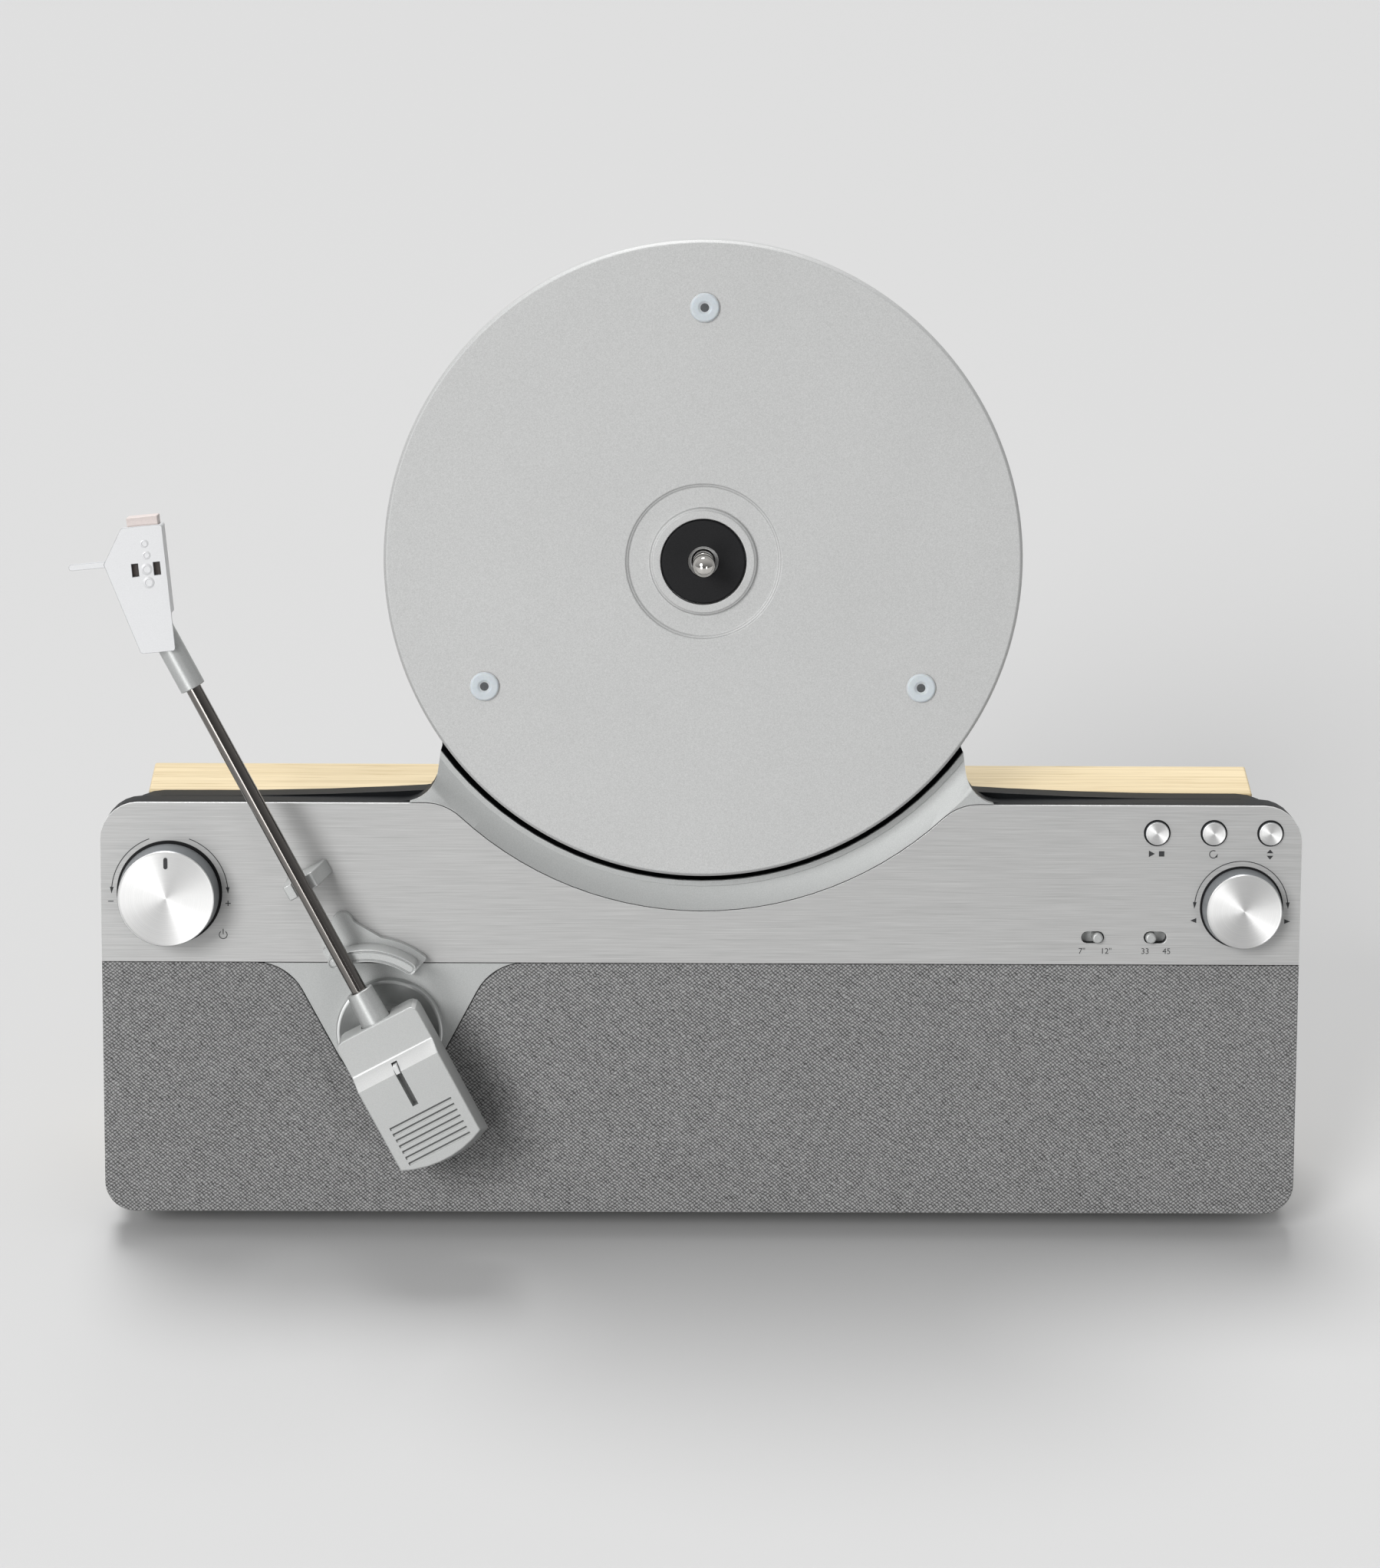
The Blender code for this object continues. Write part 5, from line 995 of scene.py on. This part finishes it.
def makeGrooveShade(c):
    # point(n, u, v) = (half length times u, shift - first - spacing n + half width times v), a band each
    columns = c["cells"] + 1
    number, u, v = np.meshgrid(np.arange(c["count"]), np.linspace(-1, 1, columns), (-1, 1), indexing="ij")
    up = -c["first"] - c["spacing"] * number + c["shift"] + v * c["width"] / 2
    points = np.stack((c["halfLength"] * u, up, np.full(u.shape, c["level"])), -1).reshape(-1, 3) * mm
    start = (np.arange(c["count"])[:, None] * 2 * columns + 2 * np.arange(c["cells"])).ravel()
    faces = np.column_stack((start, start + 2, start + 3, start + 1))
    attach(newPiece("capGrooveShade", points, faces, "groovePaintedShade", tiltMatrix), "tonearm")


makeGrooveShade(grooveShade)
print("turned pieces made")


# Grille cloth: stretched over its board, notched round the arm's tongue
grille = {
    "half": 197.5, "high": 84.3, "corner": 10.0, "front": -0.12, "edge": -0.95, "roll": 0.5, "thick": 0.25,
    "mount": 19.1, "flare": math.radians(28.2), "fillet": 18.0, "drop": 22.7, "gap": 0.3, "hem": 1.0,
}


def grilleOutline(c):
    px, py = armSpot.x / mm, armSpot.y / mm
    flare, corner, quarter = c["flare"], c["corner"], math.pi / 2
    rise = c["drop"] - c["fillet"]
    reach = (c["mount"] + c["fillet"] + rise * math.sin(flare)) / math.cos(flare)
    right = arcPoints(px + reach, py + rise, c["fillet"] - c["gap"], quarter, 2 * quarter - flare, 14)
    return np.vstack([
        arcPoints(-c["half"] + corner, corner, corner, 2 * quarter, 3 * quarter, 10),
        arcPoints(c["half"] - corner, corner, corner, 3 * quarter, 4 * quarter, 10),
        [(c["half"], c["high"])],
        right,
        arcPoints(px, py, c["mount"] + c["gap"], 4 * quarter - flare, 2 * quarter + flare, 30),
        right[::-1] * (-1, 1) + (2 * px, 0),
        [(-c["half"], c["high"])],
    ])


def insetOutline(points, distance):
    # moves every point inwards along the mean of its two side normals
    after = np.roll(points, -1, axis=0) - points
    after /= np.linalg.norm(after, axis=1)[:, None]
    both = after + np.roll(after, 1, axis=0)
    length = np.linalg.norm(both, axis=1)[:, None]
    normal = np.column_stack((-both[:, 1], both[:, 0])) / length
    return points + normal * distance / np.maximum(length / 2, 0.5)


def makeGrille(c):
    outline = grilleOutline(c)
    count = len(outline)
    rings = [(0, c["edge"])]
    rings += [(c["roll"] * (1 - math.cos(turn)), c["front"] - c["roll"] * (1 - math.sin(turn)))
              for turn in np.linspace(0, math.pi / 2, 5)]
    points = np.vstack([lifted(insetOutline(outline, inset) if inset else outline, level)
                        for inset, level in rings]) * mm
    faces = walls(count, len(rings)) + [range(len(points) - count, len(points))]
    item = newPiece("grilleClothStretched", points, faces, "grilleCloth", faceMatrix, smooth=False,
                    uv=points[np.concatenate(faces)][:, :2], uvName="clothMap")
    item.data.shade_smooth()
    thick = item.modifiers.new("clothThickness", "SOLIDIFY")
    thick.thickness = c["thick"] * mm
    thick.offset = -1
    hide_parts("grille_cloth")
    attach(item, "cabinet")


makeGrille(grille)
print("grille cloth stretched")


# Printing on the panel, in mm on the leaning front: arcs, arrowheads, signs and plain numbers
volumeArc = ((-174.8, 107.6), 19.1)
trackArc = ((177.9, 103.9), 15.4)
powerArc = ((-157.4, 93.6), 1.3)
loopArc = ((168.35, 121.6), 1.25)
printing = {
    "line": 0.28, "signLine": 0.308, "level": 0.03, "textHeight": 2.75, "textUp": 89.0,
    "arcs": [(volumeArc, 110, 176), (volumeArc, 4, 70), (powerArc, 125, 415), (trackArc, 5, 175),
             (loopArc, 60, 330)],
    "arrowHeads": [(volumeArc, 177, 1, 1.5), (volumeArc, 3, -1, 1.5), (trackArc, 177, 1, 1.5),
                   (trackArc, 3, -1, 1.5), (loopArc, 335, 1, 0.9)],
    "powerLine": [(-157.4, 93.8), (-157.4, 95.6)],
    "minusAndPlus": [[(-195.1, 104.7), (-193.3, 104.7)], [(-156.6, 104.1), (-154.8, 104.1)],
                     [(-155.7, 103.2), (-155.7, 105.0)]],
    "trackWays": [[(161.2, 99.4), (163.2, 98.6), (163.2, 100.3)],
                  [(194.2, 99.2), (192.2, 100.0), (192.2, 98.4)]],
    "playAndStop": [[(147.1, 120.6), (149.1, 121.7), (147.1, 122.8)],
                    [(150.4, 120.8), (152.2, 120.8), (152.2, 122.6), (150.4, 122.6)]],
    "upAndDown": [[(185.9, 122.0), (188.1, 122.0), (187.0, 123.3)],
                  [(185.9, 121.2), (187.0, 119.9), (188.1, 121.2)]],
    "texts": (("sizeSeven", "7\"", 125.6), ("sizeTwelve", "12\"", 133.6),
              ("speedThirtyThree", "33", 146.5), ("speedFortyFive", "45", 153.6)),
}


def strip(points, width):
    # a band of the given width along a line of points
    points = np.asarray(points, dtype=float)
    along = np.gradient(points, axis=0)
    along /= np.linalg.norm(along, axis=1)[:, None]
    side = np.column_stack((-along[:, 1], along[:, 0])) * width / 2
    count = len(points)
    step = np.arange(count - 1)
    faces = np.column_stack((step, step + 1, step + 1 + count, step + count))
    return np.vstack((points - side, points + side)), faces


def arrowHead(ring, angle, way, size):
    # a slim triangle whose tip lies on the arc and points along it
    (cx, cy), radius = ring
    angle = math.radians(angle)
    out = np.array((math.cos(angle), math.sin(angle)))
    along = way * np.array((-out[1], out[0]))
    tip = np.array((cx, cy)) + radius * out
    back = tip - along * size * 0.6
    return [tip + along * size * 0.9, back + out * size * 0.42, back - out * size * 0.42]


def facingOut(points, face):
    # the corners in the order in which the area inside them counts as positive
    x, y = points[face].T
    return face if np.dot(x, np.roll(y, -1)) > np.dot(y, np.roll(x, -1)) else face[::-1]


def makePrinting(c):
    marks = [strip(arcPoints(*centre, radius, math.radians(start), math.radians(end), 40), c["line"])
             for (centre, radius), start, end in c["arcs"]]
    marks.append(strip(c["powerLine"], c["line"]))
    marks += [strip(line, c["signLine"]) for line in c["minusAndPlus"]]
    shapes = [arrowHead(*place) for place in c["arrowHeads"]]
    shapes += c["trackWays"] + c["playAndStop"] + c["upAndDown"]
    marks += [(shape, [range(len(shape))]) for shape in shapes]
    flat, faces = np.vstack([points for points, _ in marks]), []
    count = 0
    for points, own in marks:
        faces += [facingOut(flat, [count + int(corner) for corner in face]) for face in own]
        count += len(points)
    points = lifted(flat, c["level"]) * mm
    piece = newPiece("panelPrinting", points, faces, "printBlack", faceMatrix, smooth=False)
    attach(piece, "cabinet")

    for name, text, x in c["texts"]:
        curve = bpy.data.curves.new(name, "FONT")
        curve.body = text
        curve.size = c["textHeight"] * mm
        curve.align_x = "CENTER"
        curve.align_y = "CENTER"
        guide = addItem(name + "Guide", curve)
        bpy.context.view_layer.update()
        mesh = bpy.data.meshes.new_from_object(guide.evaluated_get(bpy.context.evaluated_depsgraph_get()))
        bpy.data.objects.remove(guide, do_unlink=True)
        mesh.transform(faceMatrix @ Matrix.Translation((x * mm, c["textUp"] * mm, c["level"] * mm)))
        setLook(mesh, "printBlack")
        item = addItem(name, mesh)
        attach(item, "cabinet")


makePrinting(printing)
print("panel printed")
